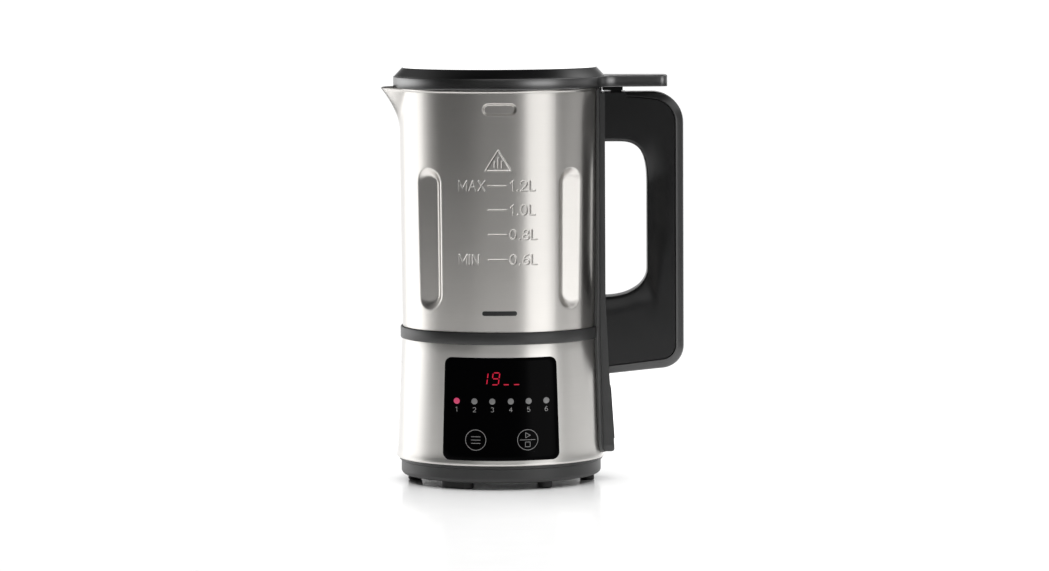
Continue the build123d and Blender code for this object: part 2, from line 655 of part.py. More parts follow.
def lid_cover():
    wall, top_wall = 2.2, 2.2
    rim = extrude(Pos(0, 0, LID_LOW) * lid_plan(), amount=LID_RIM_TOP - LID_LOW)
    rim = chamfer(rim.faces().sort_by(Axis.Z)[-1].outer_wire().edges(), 0.5)
    crown = turned([(0, LID_RIM_TOP - 1), (LID_R - 0.8, LID_RIM_TOP - 1), (LID_R - 0.6, LID_RIM_TOP),
                    (LID_R_FLAT, LID_TOP), (0, LID_TOP)])
    hollow = turned([(0, LID_LOW - 1), (LID_R - wall, LID_LOW - 1), (LID_R - wall, LID_RIM_TOP - 1),
                     (LID_R_FLAT - 0.8, LID_TOP - top_wall), (0, LID_TOP - top_wall)])
    tab_hollow = block(82, TAB_END_X - 4, -HALF_GRIP + 3, HALF_GRIP - 3, LID_LOW - 1, LID_RIM_TOP - 2.5)
    cover = rim + crown - hollow - tab_hollow
    post_top = LID_TOP - top_wall + 0.5
    for angle in range(45, 360, 90):
        post = rod(3.6, PLUG_LOW + 2, post_top) - rod(1.5, PLUG_LOW + 1, 259)
        cover = cover + around(angle, LID_SCREW_R, post)
    for step in (-2, -1, 0, 1, 2):
        cover = cover - block(-54, -44, step * 4.5 - 0.9, step * 4.5 + 0.9, LID_RIM_TOP, LID_TOP + 1)
    return cover


def lid_inner():
    """The plate and wall that plug into the jug, with a steam hole by the spout."""
    floor = PLUG_LOW + 2
    cup = turned([(0, PLUG_LOW), (PLUG_R, PLUG_LOW), (PLUG_R, 260), (66.3, 260), (66.3, 261.8),
                  (PLUG_R - 1.8, 261.8), (PLUG_R - 1.8, floor), (0, floor)])
    for angle in range(45, 360, 90):
        cup = cup - around(angle, LID_SCREW_R, rod(1.6, PLUG_LOW - 1, floor + 1))
    steam_hole = rod(3.0, PLUG_LOW - 1, floor + 1, -49)
    return cup - steam_hole - rod(PROBE_R, PLUG_LOW - 1, floor + 1, PROBE_X)


def lid_seal():
    return turned([(PLUG_R, 249.6), (63.0, 249.6), (63.6, 250.6), (63.6, 251.4), (63.0, 252.4),
                   (PLUG_R, 252.4)])


def lid_screws():
    screw = Pos(0, 0, PLUG_LOW) * pan_screw(3.2, 2.0, 1.5, 11.0)
    return group([around(angle, LID_SCREW_R, screw) for angle in range(45, 360, 90)])


def overflow_probe():
    return fused([rod(PROBE_R, PROBE_LOW + 2, 253, PROBE_X), rod(5.0, PLUG_LOW + 2, PLUG_LOW + 4, PROBE_X),
                  Pos(PROBE_X, 0, PROBE_LOW + PROBE_R) * Sphere(PROBE_R)])


def lid_connector():
    """The plug under the tab: a collar above the handle and a tongue that enters the socket."""
    collar = block(66.9, SOCKET_X_HIGH - 0.6, -SOCKET_HALF, SOCKET_HALF, 253.4, LID_LOW)
    gap = 0.5
    tongue = block(SOCKET_X_LOW + SOCKET_WALL + gap, SOCKET_X_HIGH - SOCKET_WALL - gap,
                   -SOCKET_HALF + SOCKET_WALL + gap, SOCKET_HALF - SOCKET_WALL - gap, 247.2, 254)
    plug = collar + tongue
    for y in CONTACT_Y:
        plug = plug - rod(1.5, 246, 251.4, CONTACT_X, y)
    return plug


def lid_contacts():
    return group([rod(1.5, 251.4 - 0.5, 251.4, CONTACT_X, y) for y in CONTACT_Y])


# --- nodes --------------------------------------------------------------------------
NODES = (
    jug_vessel, heater_plate, heating_element, temperature_probe, thermal_cutout, decor_band, jug_gasket,
    base_skirt, base_chassis, plinth, feet, bottom_screws, touch_panel, panel_gasket, control_board,
    display_module, indicator_leds, touch_springs, power_board, board_parts, motor_housing,
    motor_end_cap, motor_stator, motor_bracket, motor_screws, bearing_top, bearing_bottom, shaft_seal,
    carbon_brushes, blade_shaft, motor_rotor, commutator, cooling_fan, blade_lower, blade_upper,
    blade_nut, rail_flange, rail_cover, inlet_body, inlet_pins, handle_spine, handle_grip,
    handle_studs, handle_nuts, connector_socket, socket_contacts, lid_cover, lid_inner, lid_seal,
    lid_screws, overflow_probe, lid_connector, lid_contacts,
)

os.makedirs("parts", exist_ok=True)
for make in NODES:
    export_step(Pos(SHIFT_X, 0, 0) * make(), f"parts/{make.__name__}.step")
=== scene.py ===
"""Looks of the heated blender jug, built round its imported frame.

Shapes are worked out in millimetres about the jug's axis, and place() turns them into the
frame's metres. The panel faces -Y, the handle is at +X and the spout at -X. Places round
the jug are in degrees from the front, positive towards the handle.
"""

import bpy
import json
import math
import numpy as np
from mathutils import Matrix, Vector


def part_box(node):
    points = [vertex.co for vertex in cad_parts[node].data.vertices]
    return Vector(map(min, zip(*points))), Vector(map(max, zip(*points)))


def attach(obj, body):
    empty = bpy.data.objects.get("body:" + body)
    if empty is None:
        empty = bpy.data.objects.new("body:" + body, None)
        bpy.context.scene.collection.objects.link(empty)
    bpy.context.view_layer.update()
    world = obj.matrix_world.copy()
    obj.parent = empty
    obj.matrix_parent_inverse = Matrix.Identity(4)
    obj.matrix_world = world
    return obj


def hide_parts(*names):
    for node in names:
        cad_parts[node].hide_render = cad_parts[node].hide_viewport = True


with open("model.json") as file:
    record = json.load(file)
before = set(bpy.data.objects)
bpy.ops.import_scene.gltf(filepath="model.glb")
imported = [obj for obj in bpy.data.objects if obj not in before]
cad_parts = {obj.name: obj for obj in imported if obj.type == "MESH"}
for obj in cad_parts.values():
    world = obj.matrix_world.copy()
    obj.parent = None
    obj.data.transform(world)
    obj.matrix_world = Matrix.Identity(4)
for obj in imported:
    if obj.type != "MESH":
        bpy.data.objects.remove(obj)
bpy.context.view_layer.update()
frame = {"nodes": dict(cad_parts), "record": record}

MM = 0.001
PLINTH_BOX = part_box("plinth")
AXIS_X = (PLINTH_BOX[0].x + PLINTH_BOX[1].x) / 2


def limits(node):
    """A CAD node's lowest and highest corners in millimetres about the jug's axis."""
    shift = Vector((AXIS_X, 0, 0))
    low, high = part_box(node)
    return (low - shift) / MM, (high - shift) / MM


# --- driving sizes, from the frame ---
JUG, BAND, SKIRT, RAIL = (limits(node) for node in ("jug_vessel", "decor_band", "base_skirt", "rail_cover"))
LID, GRIP, SPINE = (limits(node) for node in ("lid_cover", "handle_grip", "handle_spine"))
JUG_TOP, SPOUT_TIP = JUG[1].z, -JUG[0].x
BAND_LOW, BAND_TOP, BAND_R = BAND[0].z, BAND[1].z, BAND[1].y
SKIRT_LOW, SKIRT_TOP, SKIRT_LIP_R = SKIRT[0].z, SKIRT[1].z, SKIRT[1].y
LID_TOP, LID_R, TAB_END = LID[1].z, LID[1].y, LID[1].x
RAIL_LOW, RAIL_TOP = RAIL[0].z, RAIL[1].z
GRIP_TOP, HALF_GRIP = GRIP[1].z, GRIP[1].y
HANDLE_OUT, HEEL_Z = SPINE[1].x, SPINE[0].z

# --- driving sizes that the frame's boxes don't give ---
JUG_R_LOW, JUG_R_TOP, JUG_WALL, JUG_LOW = 63.6, 65.0, 0.8, 99.6
FLOOR_DROP, FLOOR_CORNER, SHAFT_HOLE_R = 1.6, 1.4, 8.0
BEAD_HEIGHT, BEAD_PROUD, BEAD_FADE, BEAD_FADE_REACH = 1.4, 0.28, 0.6, 8.0
SPOUT_LOW, SPOUT_HALF_LOW, SPOUT_HALF_TOP, SPOUT_CURVE, SPOUT_CLEARANCE = 229.0, 13.0, 26.0, 1.7, 0.4
# each flute's place round the jug, and the direction that its flat floor faces
FLUTES = ((45, 27), (135, 153), (-135, -153), (-45, -27))
FLUTE_HALF_WIDTH, FLUTE_HALF_HEIGHT, FLUTE_MID_Z, FLUTE_DEPTH = 10.2, 45.3, 160.2, 3.9
FLUTE_WALL_SLOPE, FLUTE_FLOOR_BLEND, FLUTE_EDGE_BLEND = 0.8, 0.7, 0.45
SLOT_HALF_WIDTH, SLOT_HALF_HEIGHT, SLOT_MID_Z, SLOT_DEPTH, SLOT_BEVEL = 11.2, 4.1, 243.3, 1.9, 1.6
# engraved level marks: height, number and word of each, then the warning sign with its bars' x and top
LEVELS = ((194.8, "1.2L", "MAX"), (179.4, "1.0L", ""), (163.7, "0.8L", ""), (147.7, "0.6L", "MIN"))
TICK_LEFT, TICK_RIGHT, NUMBER_X, WORD_X, LETTER_HEIGHT = -7.3, 4.1, 6.6, -26.0, 6.2
SIGN_X, SIGN_LOW, SIGN_TOP, SIGN_HALF = -0.9, 204.4, 217.4, 8.2
SIGN_BAR_FOOT, SIGN_BARS = 206.6, ((-3.2, 210.4), (-0.9, 212.6), (1.4, 210.4))
MARK_DEPTH, MARK_FLAT, MARK_BEVEL = 0.4, 0.12, 0.4
BAR_LEFT, BAR_RIGHT, BAR_LOW, BAR_TOP, BAR_CORNER = -11.6, 10.6, 111.9, 114.9, 1.3

SKIRT_R_LOW, SKIRT_R_TOP, SKIRT_LIP_HEIGHT, SKIRT_WALL = 67.4, 64.0, 2.2, 0.7
BAND_INNER_R, BAND_STEP_R, BAND_STEP_Z = 58.0, 63.8, 97.0
PANEL_LOW, PANEL_TOP, PANEL_HALF_LOW, PANEL_HALF_TOP = 19.2, 85.2, 37.5, 35.6
PANEL_CORNER, PANEL_PROUD, PANEL_SUNK, PANEL_BEVEL = 4.7, 0.4, 1.1, 0.45
LED_X, LED_Z, LED_R = (-28.2, -16.9, -5.5, 6.3, 17.7, 29.0), 57.4, 1.95
KEY_LEFT_X, KEY_RIGHT_X, KEY_Z, KEY_R = -16.2, 17.0, 32.7, 6.5
NUMERAL_Z, NUMERAL_HEIGHT = 52.1, 2.9
# each display digit: its middle and the bars that are lit
DIGITS = ((-10.6, "bc"), (-3.2, "abcdfg"), (4.0, "d"), (10.6, "d"))
DIGIT_Z, DIGIT_HALF_WIDTH, DIGIT_HALF_HEIGHT, DIGIT_SLANT = 71.9, 2.1, 3.8, 0.14
DIGIT_HALF_LINE, DIGIT_GAP = 0.32, 0.35
PRINT_LOW, PRINT_HIGH, PRINT_LINE, PRINT_BEVEL = -0.03, 0.05, 0.32, 0.03

RAIL_R_LOW, RAIL_R_TOP, RAIL_VISUAL_TOP, RAIL_CORNER, RAIL_EDGE = 68.9, 66.5, 254.8, 8.0, 0.9
RAIL_HALF_LOW, RAIL_HALF_WAIST, RAIL_HALF_TOP, RAIL_STRAIGHT_Z = 24.5, 21.5, 18.8, 130.0
RAIL_GAP, BAND_CLEARANCE, RAIL_PLAIN_Z = 0.15, 0.18, 110
COVER_X, COVER_X_HEEL, COVER_X_LOW = 68.1, 70.4, 73.75
INLET_Z, INLET_HALF_TALL, INLET_HALF_WIDE, INLET_CORNER = 43.75, 15.4, 11.4, 2.0
STUD_HEIGHTS, STUD_BORE = (108.0, 236.0), 2.2
# how far the cutters reach: along the inlet's tilted axis, and out from the jug's axis
INLET_REACH, STUD_REACH = (-30, 12), (50, 90)

GRIP_SPINE_TOP, GRIP_SPINE = 2.9, 5.5
SPINE_START_X, HOLE_START_X, GRIP_BOTTOM = 82.0, 80.5, 74.3
SPINE_R_TOP, SPINE_R_LOW = 20.0, 15.0
# the finger hole: squared-off ovals at its two outer corners, as centre, half sizes and squareness
HOLE_LOW = 119.5
HOLE_TOP_OVAL = (75.0, 190.0, 20.3, 30.4, 3.1)
HOLE_LOW_OVAL = (68.1, 138.2, 27.2, 18.7, 2.15)
HOLE_EDGE, SEAM_BEVEL = 2.4, 0.7
# how much thinner the grip is beside the hole, where that starts, and how far it takes to fade
COLUMN_DROP, COLUMN_REACH, COLUMN_X, COLUMN_LOW, COLUMN_TOP = 6.0, 20.0, 84, 118, 221
LOW_DROP, LOW_REACH, LOW_TOP = 2.6, 9.0, 140
COLUMN_X_FADE, COLUMN_LOW_FADE, COLUMN_TOP_FADE, LOW_TOP_FADE, SEAM_MARGIN = 10, 22, 32, 14, 1.5
POCKET_IN, POCKET_OUT, POCKET_HALF, POCKET_FLOOR = 70.5, 80.5, 10.5, 245.0

LID_WALL, LID_RIM_LOW, LID_RIM_TOP, LID_FLAT_R = 2.2, 255.8, 263.1, 62.6
TAB_NECK_R, TAB_CORNER, TAB_START_X, TAB_START_HALF, TAB_TAPER = 15.0, 5.5, 70.0, 17.2, 6.0
TAB_HOLLOW_X, TAB_HOLLOW_WALL = 82, 4
VENT_IN, VENT_OUT, VENT_HALF, VENT_CORNER, VENT_PITCH, VENT_COUNT = -54, -44, 0.9, 0.85, 4.5, 5


def jug_r(z):
    return JUG_R_LOW + (JUG_R_TOP - JUG_R_LOW) * (z - BAND_TOP) / (JUG_TOP - BAND_TOP)


def skirt_r(z):
    cone_low = SKIRT_LOW + SKIRT_LIP_HEIGHT
    return SKIRT_R_LOW + (SKIRT_R_TOP - SKIRT_R_LOW) * (z - cone_low) / (SKIRT_TOP - cone_low)


def smooth(t):
    t = np.clip(t, 0, 1)
    return t * t * (3 - 2 * t)


# --- outlines ---
def arc(x, y, rx, ry, start, end, steps=10):
    """Points along part of an oval, with angles in degrees from +X."""
    turns = [math.radians(start + (end - start) * k / steps) for k in range(steps + 1)]
    return [(x + rx * math.cos(turn), y + ry * math.sin(turn)) for turn in turns]


def line(first, last, count):
    """Points along a straight line, without the last one."""
    return [(first[0] + (last[0] - first[0]) * k / count, first[1] + (last[1] - first[1]) * k / count)
            for k in range(count)]


def disc(x, z, radius, steps=28):
    return arc(x, z, radius, radius, 0, 360, steps)[:-1]


def rectangle(left, right, low, top):
    """Corners of a rectangle, anticlockwise."""
    return [(left, low), (right, low), (right, top), (left, top)]


def rounded(corners, radius, steps=8):
    """A closed anticlockwise outline with each corner turned into an arc."""
    outline = []
    for i, corner in enumerate(corners):
        here = Vector(corner)
        back = (Vector(corners[i - 1]) - here).normalized()
        ahead = (Vector(corners[(i + 1) % len(corners)]) - here).normalized()
        half = back.angle(ahead) / 2
        centre = here + (back + ahead).normalized() * (radius / math.sin(half))
        first = here + back * (radius / math.tan(half)) - centre
        start = math.degrees(math.atan2(first.y, first.x))
        outline += arc(*centre, radius, radius, start, start + 180 - 2 * math.degrees(half), steps)
    return outline


def subdivided(outline, step, closed=True):
    """The same outline with long sides divided."""
    result = []
    ahead = outline[1:] + outline[:1] if closed else outline[1:]
    for (ax, ay), (bx, by) in zip(outline, ahead):
        count = max(1, math.ceil(math.hypot(bx - ax, by - ay) / step))
        result += line((ax, ay), (bx, by), count)
    return result if closed else result + [outline[-1]]


def unit(vectors):
    return vectors / np.linalg.norm(vectors, axis=1)[:, None]


def sideways(points, closed=True):
    """Directions to the left of a line at its points, longer where it bends, so that offsets stay even."""
    ahead = np.roll(points, -1, axis=0) - points
    back = np.roll(ahead, 1, axis=0)
    if not closed:
        ahead[-1], back[0] = back[-1], ahead[0]
    ahead = unit(ahead)
    both = unit(ahead + unit(back))
    slant = np.clip((both * ahead).sum(axis=1), 0.5, 1)
    return np.stack([-both[:, 1], both[:, 0]], axis=1) / slant[:, None]


# --- meshes ---
def place(points):
    """Millimetres about the jug's axis to the frame's metres."""
    return np.asarray(points, float).reshape(-1, 3) * MM + np.array((AXIS_X, 0, 0))


def add_object(name, data):
    obj = bpy.data.objects.new(name, data)
    bpy.context.scene.collection.objects.link(obj)
    return obj


def shade(mesh, sharp):
    """Smooth shading, with creases where the surface bends by more than sharp degrees."""
    mesh.shade_smooth()
    mesh.set_sharp_from_angle(angle=math.radians(sharp))


def make_mesh(name, points, faces, material, sharp=40):
    mesh = bpy.data.meshes.new(name)
    mesh.from_pydata(place(points).tolist(), [], faces)
    mesh.validate()
    shade(mesh, sharp)
    mesh.materials.append(material)
    return add_object(name, mesh)


def grid_faces(rows, columns, wrap_rows=False):
    """Quads of a grid of points laid out row by row, where each row is a closed loop."""
    faces = []
    for i in range(rows if wrap_rows else rows - 1):
        row, below = i * columns, ((i + 1) % rows) * columns
        for j in range(columns):
            ahead = (j + 1) % columns
            faces.append((row + j, row + ahead, below + ahead, below + j))
    return faces


def tube_faces(rows, columns):
    """The same grid with a face over its first row and its last one."""
    last = (rows - 1) * columns
    return grid_faces(rows, columns) + [tuple(reversed(range(columns))), tuple(range(last, last + columns))]


def lathe(name, profile, material, steps=256, sharp=30):
    """A closed (radius, height) outline turned about the jug's axis."""
    angles = np.linspace(0, 2 * np.pi, steps, endpoint=False)
    r, z = np.array(profile, float).T
    points = np.stack([np.outer(np.cos(angles), r), np.outer(np.sin(angles), r),
                       np.tile(z, (steps, 1))], axis=-1)
    faces = [face[::-1] for face in grid_faces(steps, len(profile), True)]
    return make_mesh(name, points, faces, material, sharp)


def joined(name, shapes, material):
    """One object from several (points, faces) shapes."""
    faces, start = [], 0
    for points, part_faces in shapes:
        faces += [tuple(start + index for index in face) for face in part_faces]
        start += len(points)
    return make_mesh(name, np.vstack([points for points, _ in shapes]), faces, material)


def pad_mesh(outline, surface, low, high, bevel, rings=2):
    """Points and faces of a thin slab with a rounded upper edge, laid on a curved face.

    The outline runs anticlockwise, and surface(u, v, height) puts a point on the face.
    """
    outline = np.array(outline)
    middle = outline.mean(axis=0)
    side = sideways(outline)
    inset = [(0.0, high - bevel), (bevel * 0.3, high - bevel * 0.3), (bevel, high)]
    shares = np.linspace(1, 0.02, rings + 1)
    loops = [(middle + (outline - middle) * share, low) for share in shares[::-1]]
    loops += [(outline + side * distance, height) for distance, height in inset]
    inner = loops[-1][0]
    loops += [(middle + (inner - middle) * share, high) for share in shares[1:]]
    points = np.vstack([surface(loop[:, 0], loop[:, 1], height) for loop, height in loops])
    return points, tube_faces(len(loops), len(outline))


def ribbon_mesh(stroke, surface, width, low, high):
    """Points and faces of a stroke of even width, as a thin bar on a curved face."""
    closed = stroke[0] == stroke[-1]
    points = np.array(subdivided(stroke[:-1] if closed else stroke, 0.9, closed), float)
    side = sideways(points, closed) * width / 2
    corners = [(points - side, high), (points - side, low), (points + side, low), (points + side, high)]
    loops = np.stack([surface(edge[:, 0], edge[:, 1], height) for edge, height in corners], axis=1)
    faces = grid_faces(len(points), 4, True) if closed else tube_faces(len(points), 4)
    return loops.reshape(-1, 3), faces


def plane(origin, across, up, out):
    """A flat surface for pads and cutters: u runs across, v up and height out."""
    def surface(u, v, height):
        return np.array(origin) + np.outer(u, across) + np.outer(v, up) + np.multiply(out, height)

    return surface


X, Y, Z = (1, 0, 0), (0, 1, 0), (0, 0, 1)
level = plane((0, 0, 0), X, Y, Z)


def prism(name, outline, surface, low, high):
    """A plain straight-sided cutter."""
    return joined(name, [pad_mesh(outline, surface, low, high, 0.01, 1)], MATERIALS["dark_trim"])


def cut(piece, *cutters, sharp=40):
    """Cut shapes out of a piece, and throw the cutters away."""
    for cutter in cutters:
        modifier = piece.modifiers.new("cut", "BOOLEAN")
        modifier.operation, modifier.solver, modifier.object = "DIFFERENCE", "EXACT", cutter
    bpy.context.view_layer.update()
    depsgraph = bpy.context.evaluated_depsgraph_get()
    mesh = bpy.data.meshes.new_from_object(piece.evaluated_get(depsgraph))
    piece.modifiers.clear()
    piece.data = mesh
    shade(mesh, sharp)
    for cutter in cutters:
        bpy.data.objects.remove(cutter)


def finished(piece, slot, *nodes, body="root"):
    """Say what a piece moves with and which CAD nodes it stands for; its slot is not used."""
    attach(piece, body)
    if nodes:
        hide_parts(*nodes)


# --- materials ---
def grey(value):
    return (value, value, value)


class Nodes:
    """A small helper to lay out a node tree."""

    def __init__(self, tree):
        self.tree = tree

    def add(self, kind, **values):
        node = self.tree.nodes.new("ShaderNode" + kind)
        for key, value in values.items():
            if key in node.inputs:
                node.inputs[key].default_value = value
            else:
                setattr(node, key, value)
        return node

    def link(self, out, into):
        self.tree.links.new(out, into)

    def maths(self, operation, *values):
        node = self.add("Math", operation=operation)
        for socket, value in zip(node.inputs, values):
            if hasattr(value, "is_output"):
                self.link(value, socket)
            else:
                socket.default_value = value
        return node.outputs[0]

    def ramp(self, value, stops):
        """Colours spread over a value, from (place, colour) stops."""
        node = self.add("ValToRGB")
        elements = node.color_ramp.elements
        while len(elements) < len(stops):
            elements.new(0.5)
        for element, (at, colour) in zip(elements, stops):
            element.position, element.color = at, (*colour, 1)
        self.link(value, node.inputs[0])
        return node.outputs[0]


class Look(Nodes):
    """One material, laid out round its main shader."""

    def __init__(self, name):
        self.material = bpy.data.materials.new(name)
        self.material.use_nodes = True
        super().__init__(self.material.node_tree)
        self.shader = self.tree.nodes["Principled BSDF"]
        self.coords = self.add("TexCoord").outputs["Object"]

    def drive(self, out, name):
        self.link(out, self.shader.inputs[name])

    def noise(self, scale, detail=3.0, roughness=0.6, stretch=(1, 1, 1)):
        mapping = self.add("Mapping", Scale=stretch)
        self.link(self.coords, mapping.inputs["Vector"])
        node = self.add("TexNoise", Scale=scale, Detail=detail, Roughness=roughness)
        self.link(mapping.outputs["Vector"], node.inputs["Vector"])
        return node.outputs["Fac"]

    def tint(self, value, colour, amount, start=0.3, end=0.7):
        """Drive the base colour between two shades, a little darker and a little lighter."""
        low = tuple(c * (1 - amount) for c in colour)
        high = tuple(min(1, c * (1 + amount)) for c in colour)
        self.drive(self.ramp(value, [(start, low), (end, high)]), "Base Color")

    def roughness(self, value, low, high, start=0.25, end=0.75, clamp=False):
        """Drive the roughness from low to high; noise mostly lies between the usual start and end."""
        node = self.add("MapRange", clamp=clamp)
        for name, number in zip(("From Min", "From Max", "To Min", "To Max"), (start, end, low, high)):
            node.inputs[name].default_value = number
        self.link(value, node.inputs["Value"])
        self.drive(node.outputs["Result"], "Roughness")

    def bump(self, value, strength, distance):
        node = self.add("Bump", Strength=strength, Distance=distance)
        self.link(value, node.inputs["Height"])
        self.drive(node.outputs["Normal"], "Normal")

    def set(self, **values):
        for key, value in values.items():
            self.shader.inputs[key.replace("_", " ")].default_value = value


def brushed_steel(name, colour, roughness, anisotropy):
    """Steel brushed round the jug: fine level lines, with highlights drawn out upright."""
    n = Look(name)
    fine = n.noise(1, 2, 0.5, (30, 30, 2400))
    broad = n.noise(1, 1, 0.5, (6, 6, 240))
    n.tint(n.maths("MULTIPLY_ADD", broad, 0.4, fine), colour, 0.02, 0.0, 1.0)
    n.roughness(fine, roughness * 0.97, roughness * 1.03)
    n.drive(n.add("Tangent", direction_type="RADIAL", axis="Z").outputs["Tangent"], "Tangent")
    n.bump(fine, 0.02, 0.00001)
    n.set(Metallic=1.0, Anisotropic=anisotropy, Anisotropic_Rotation=0.25)
    return n.material


def plain_metal(name, colour, roughness, grain=900):
    n = Look(name)
    fine = n.noise(grain, 3)
    n.tint(fine, colour, 0.08)
    n.roughness(n.noise(120, 2), roughness * 0.8, roughness * 1.25)
    n.bump(fine, 0.1, 0.00003)
    n.set(Metallic=1.0)
    return n.material


def plastic_look(name, colour, roughness, grain=2200, depth=0.00002, strength=0.25, specular=0.5, ior=1.5):
    """Moulded plastic: a fine spark-eroded grain, and a slow change of gloss."""
    n = Look(name)
    fine = n.noise(grain, 2)
    slow = n.noise(30, 2)
    n.tint(slow, colour, 0.08)
    n.roughness(slow, roughness * 0.93, roughness * 1.07)
    n.bump(fine, strength, depth)
    n.set(Specular_IOR_Level=specular, IOR=ior)
    return n


def plastic(*look, **finish):
    return plastic_look(*look, **finish).material


def glowing(name, colour, strength):
    """A lit lamp: a dark red body that gives off its own light."""
    n = Look(name)
    n.tint(n.noise(700, 1), (0.02, 0.003, 0.003), 0.1)
    n.set(Roughness=0.35, Emission_Strength=strength, Emission_Color=(*colour, 1))
    return n.material


def lid_top_black():
    """The lid's plastic, with a smoother finish from just below its flat top."""
    n = plastic_look("lid_top_black", *LID_BLACK)
    split = n.add("SeparateXYZ")
    n.link(n.coords, split.inputs[0])
    start, full = (LID_TOP - POLISH_START) * MM, (LID_TOP - POLISH_FULL) * MM
    n.roughness(split.outputs["Z"], LID_BLACK[1], POLISHED, start, full, clamp=True)
    return n.material


POLISH_START, POLISH_FULL, POLISHED = 0.12, 0.03, 0.08
LID_BLACK = ((0.004, 0.004, 0.0045), 0.29, 2200, 0.00002, 0.25, 0.8, 2.0)
# colour, roughness, then any of grain, bump distance, bump strength, specular and index of refraction
PLASTICS = {
    "dark_trim": (grey(0.026), 0.38),
    "panel_black": ((0.001, 0.001, 0.0012), 0.07, 500, 0.00001, 0.02, 0.02),
    "handle_charcoal": ((0.011, 0.011, 0.0115), 0.36),
    "lid_black": LID_BLACK,
    "socket_black": (grey(0.004), 0.4),
    "silicone": ((0.5, 0.5, 0.48), 0.55, 1500),
    "foot_rubber": (grey(0.012), 0.6, 1500),
    "gasket_foam": (grey(0.02), 0.9, 900, 0.00008),
    "inner_plastic": ((0.02, 0.02, 0.021), 0.45),
    "board_green": ((0.02, 0.13, 0.05), 0.3, 800),
    "electronics_black": ((0.02, 0.02, 0.022), 0.35),
    "display_lens": ((0.01, 0.004, 0.004), 0.2),
    "lamp": (grey(0.4), 0.4),
    "carbon": (grey(0.012), 0.65, 1200),
    "fan_plastic": ((0.55, 0.55, 0.53), 0.4),
}
METALS = {
    "blade_steel": ((0.66, 0.66, 0.65), 0.16),
    "zinc_screw": ((0.6, 0.6, 0.57), 0.3),
    "plate_aluminium": (grey(0.7), 0.4, 500),
    "heater_sheath": ((0.3, 0.28, 0.25), 0.45, 600),
    "motor_can": ((0.5, 0.5, 0.48), 0.32, 700),
    "lamination": ((0.2, 0.19, 0.19), 0.5, 700),
    "bronze": ((0.55, 0.36, 0.18), 0.4, 600),
    "copper": ((0.72, 0.38, 0.2), 0.28, 600),
    "contact_brass": ((0.75, 0.6, 0.3), 0.22, 600),
}
MATERIALS = {name: plastic(name, *look) for name, look in PLASTICS.items()}
MATERIALS.update({name: plain_metal(name, *look) for name, look in METALS.items()})
MATERIALS["brushed_steel"] = brushed_steel("brushed_steel", (0.65, 0.635, 0.61), 0.27, 0.88)
JUG_STEEL = brushed_steel("jug_steel", (0.665, 0.645, 0.617), 0.3, 0.87)
BASE_STEEL = brushed_steel("base_steel", (0.665, 0.65, 0.625), 0.3, 0.87)
PRINTED = {"grain": 900, "depth": 0.00001, "strength": 0.05}
PRINT_GREY = plastic("print_grey", grey(0.3), 0.5, **PRINTED)
LAMP_OFF = plastic("lamp_off", grey(0.2), 0.35, **PRINTED)
MARK_DARK = plastic("mark_dark", grey(0.01), 0.5, **PRINTED)
DIGIT_RED = glowing("digit_red", (1.0, 0.0, 0.055), 0.6)
LAMP_LIT = glowing("lamp_lit", (1.0, 0.09, 0.25), 0.52)
# the spine's plastic: the grip's charcoal made lighter, a painted highlight along its chamfer band
SPINE_PAINTED_HIGHLIGHT = plastic("spine_grey", (0.02, 0.02, 0.0205), 0.34, specular=0.8)
LID_TOP_BLACK = lid_top_black()
RAIL_GREY = plastic("rail_grey", grey(0.055), 0.42)

for entry in frame["record"]["subparts"]:
    cad_object = frame["nodes"][entry["node"]]
    cad_object.data.materials.clear()
    cad_object.data.materials.append(MATERIALS[entry["material_slot"]])
frame["nodes"]["rail_cover"].data.materials[0] = RAIL_GREY


# --- camera, in metres and degrees ---
CAMERA_FAR, CAMERA_HIGH, VIEW_WIDTH = 2.95, 0.359, 0.68038
PITCH_DOWN, YAW_RIGHT, ROLL = 4.51, 0.306, 0.28


def add_camera():
    """A long lens that takes in VIEW_WIDTH at the jug's axis."""
    data = bpy.data.cameras.new("camera")
    camera = add_object("camera", data)
    data.sensor_width = 36.0
    data.lens = data.sensor_width * CAMERA_FAR / VIEW_WIDTH
    data.clip_end = 50
    camera.location = (AXIS_X, -CAMERA_FAR, CAMERA_HIGH)
    turns = ((-YAW_RIGHT, "Z"), (90 - PITCH_DOWN, "X"), (-ROLL, "Z"))
    yaw, pitch, roll = (Matrix.Rotation(math.radians(angle), 4, axis) for angle, axis in turns)
    camera.rotation_euler = (yaw @ pitch @ roll).to_euler()
    bpy.context.scene.camera = camera


# --- studio ---
RING_SCALE, BACKDROP = 10.0, 1.05
# (degrees from the front, brightness)
STUDIO_RING = (
    (-180, 2.0), (-174, 2.0), (-170, 1.1), (-150, 1.3), (-139, 2.2), (-125, 2.9), (-112, 2.75), (-104, 2.5),
    (-96, 1.3), (-88, 0.6), (-78, 0.15), (-68, 0.06), (-38, 0.07), (-22, 0.14), (10, 0.14), (19, 0.25),
    (27, 0.75), (35, 2.6), (58, 2.6), (64, 1.4), (70, 0.45), (78, 0.3), (90, 0.5), (105, 0.6), (125, 0.7),
    (150, 1.8), (165, 2.0), (180, 2.0),
)
# (sine of the elevation, share of the ring's brightness)
STUDIO_HEIGHT = (
    (-1, 0.02), (-0.22, 0.08), (-0.13, 0.8), (-0.05, 1.0), (0.06, 1.0), (0.14, 0.35), (0.3, 0.06),
    (1.0, 0.01),
)
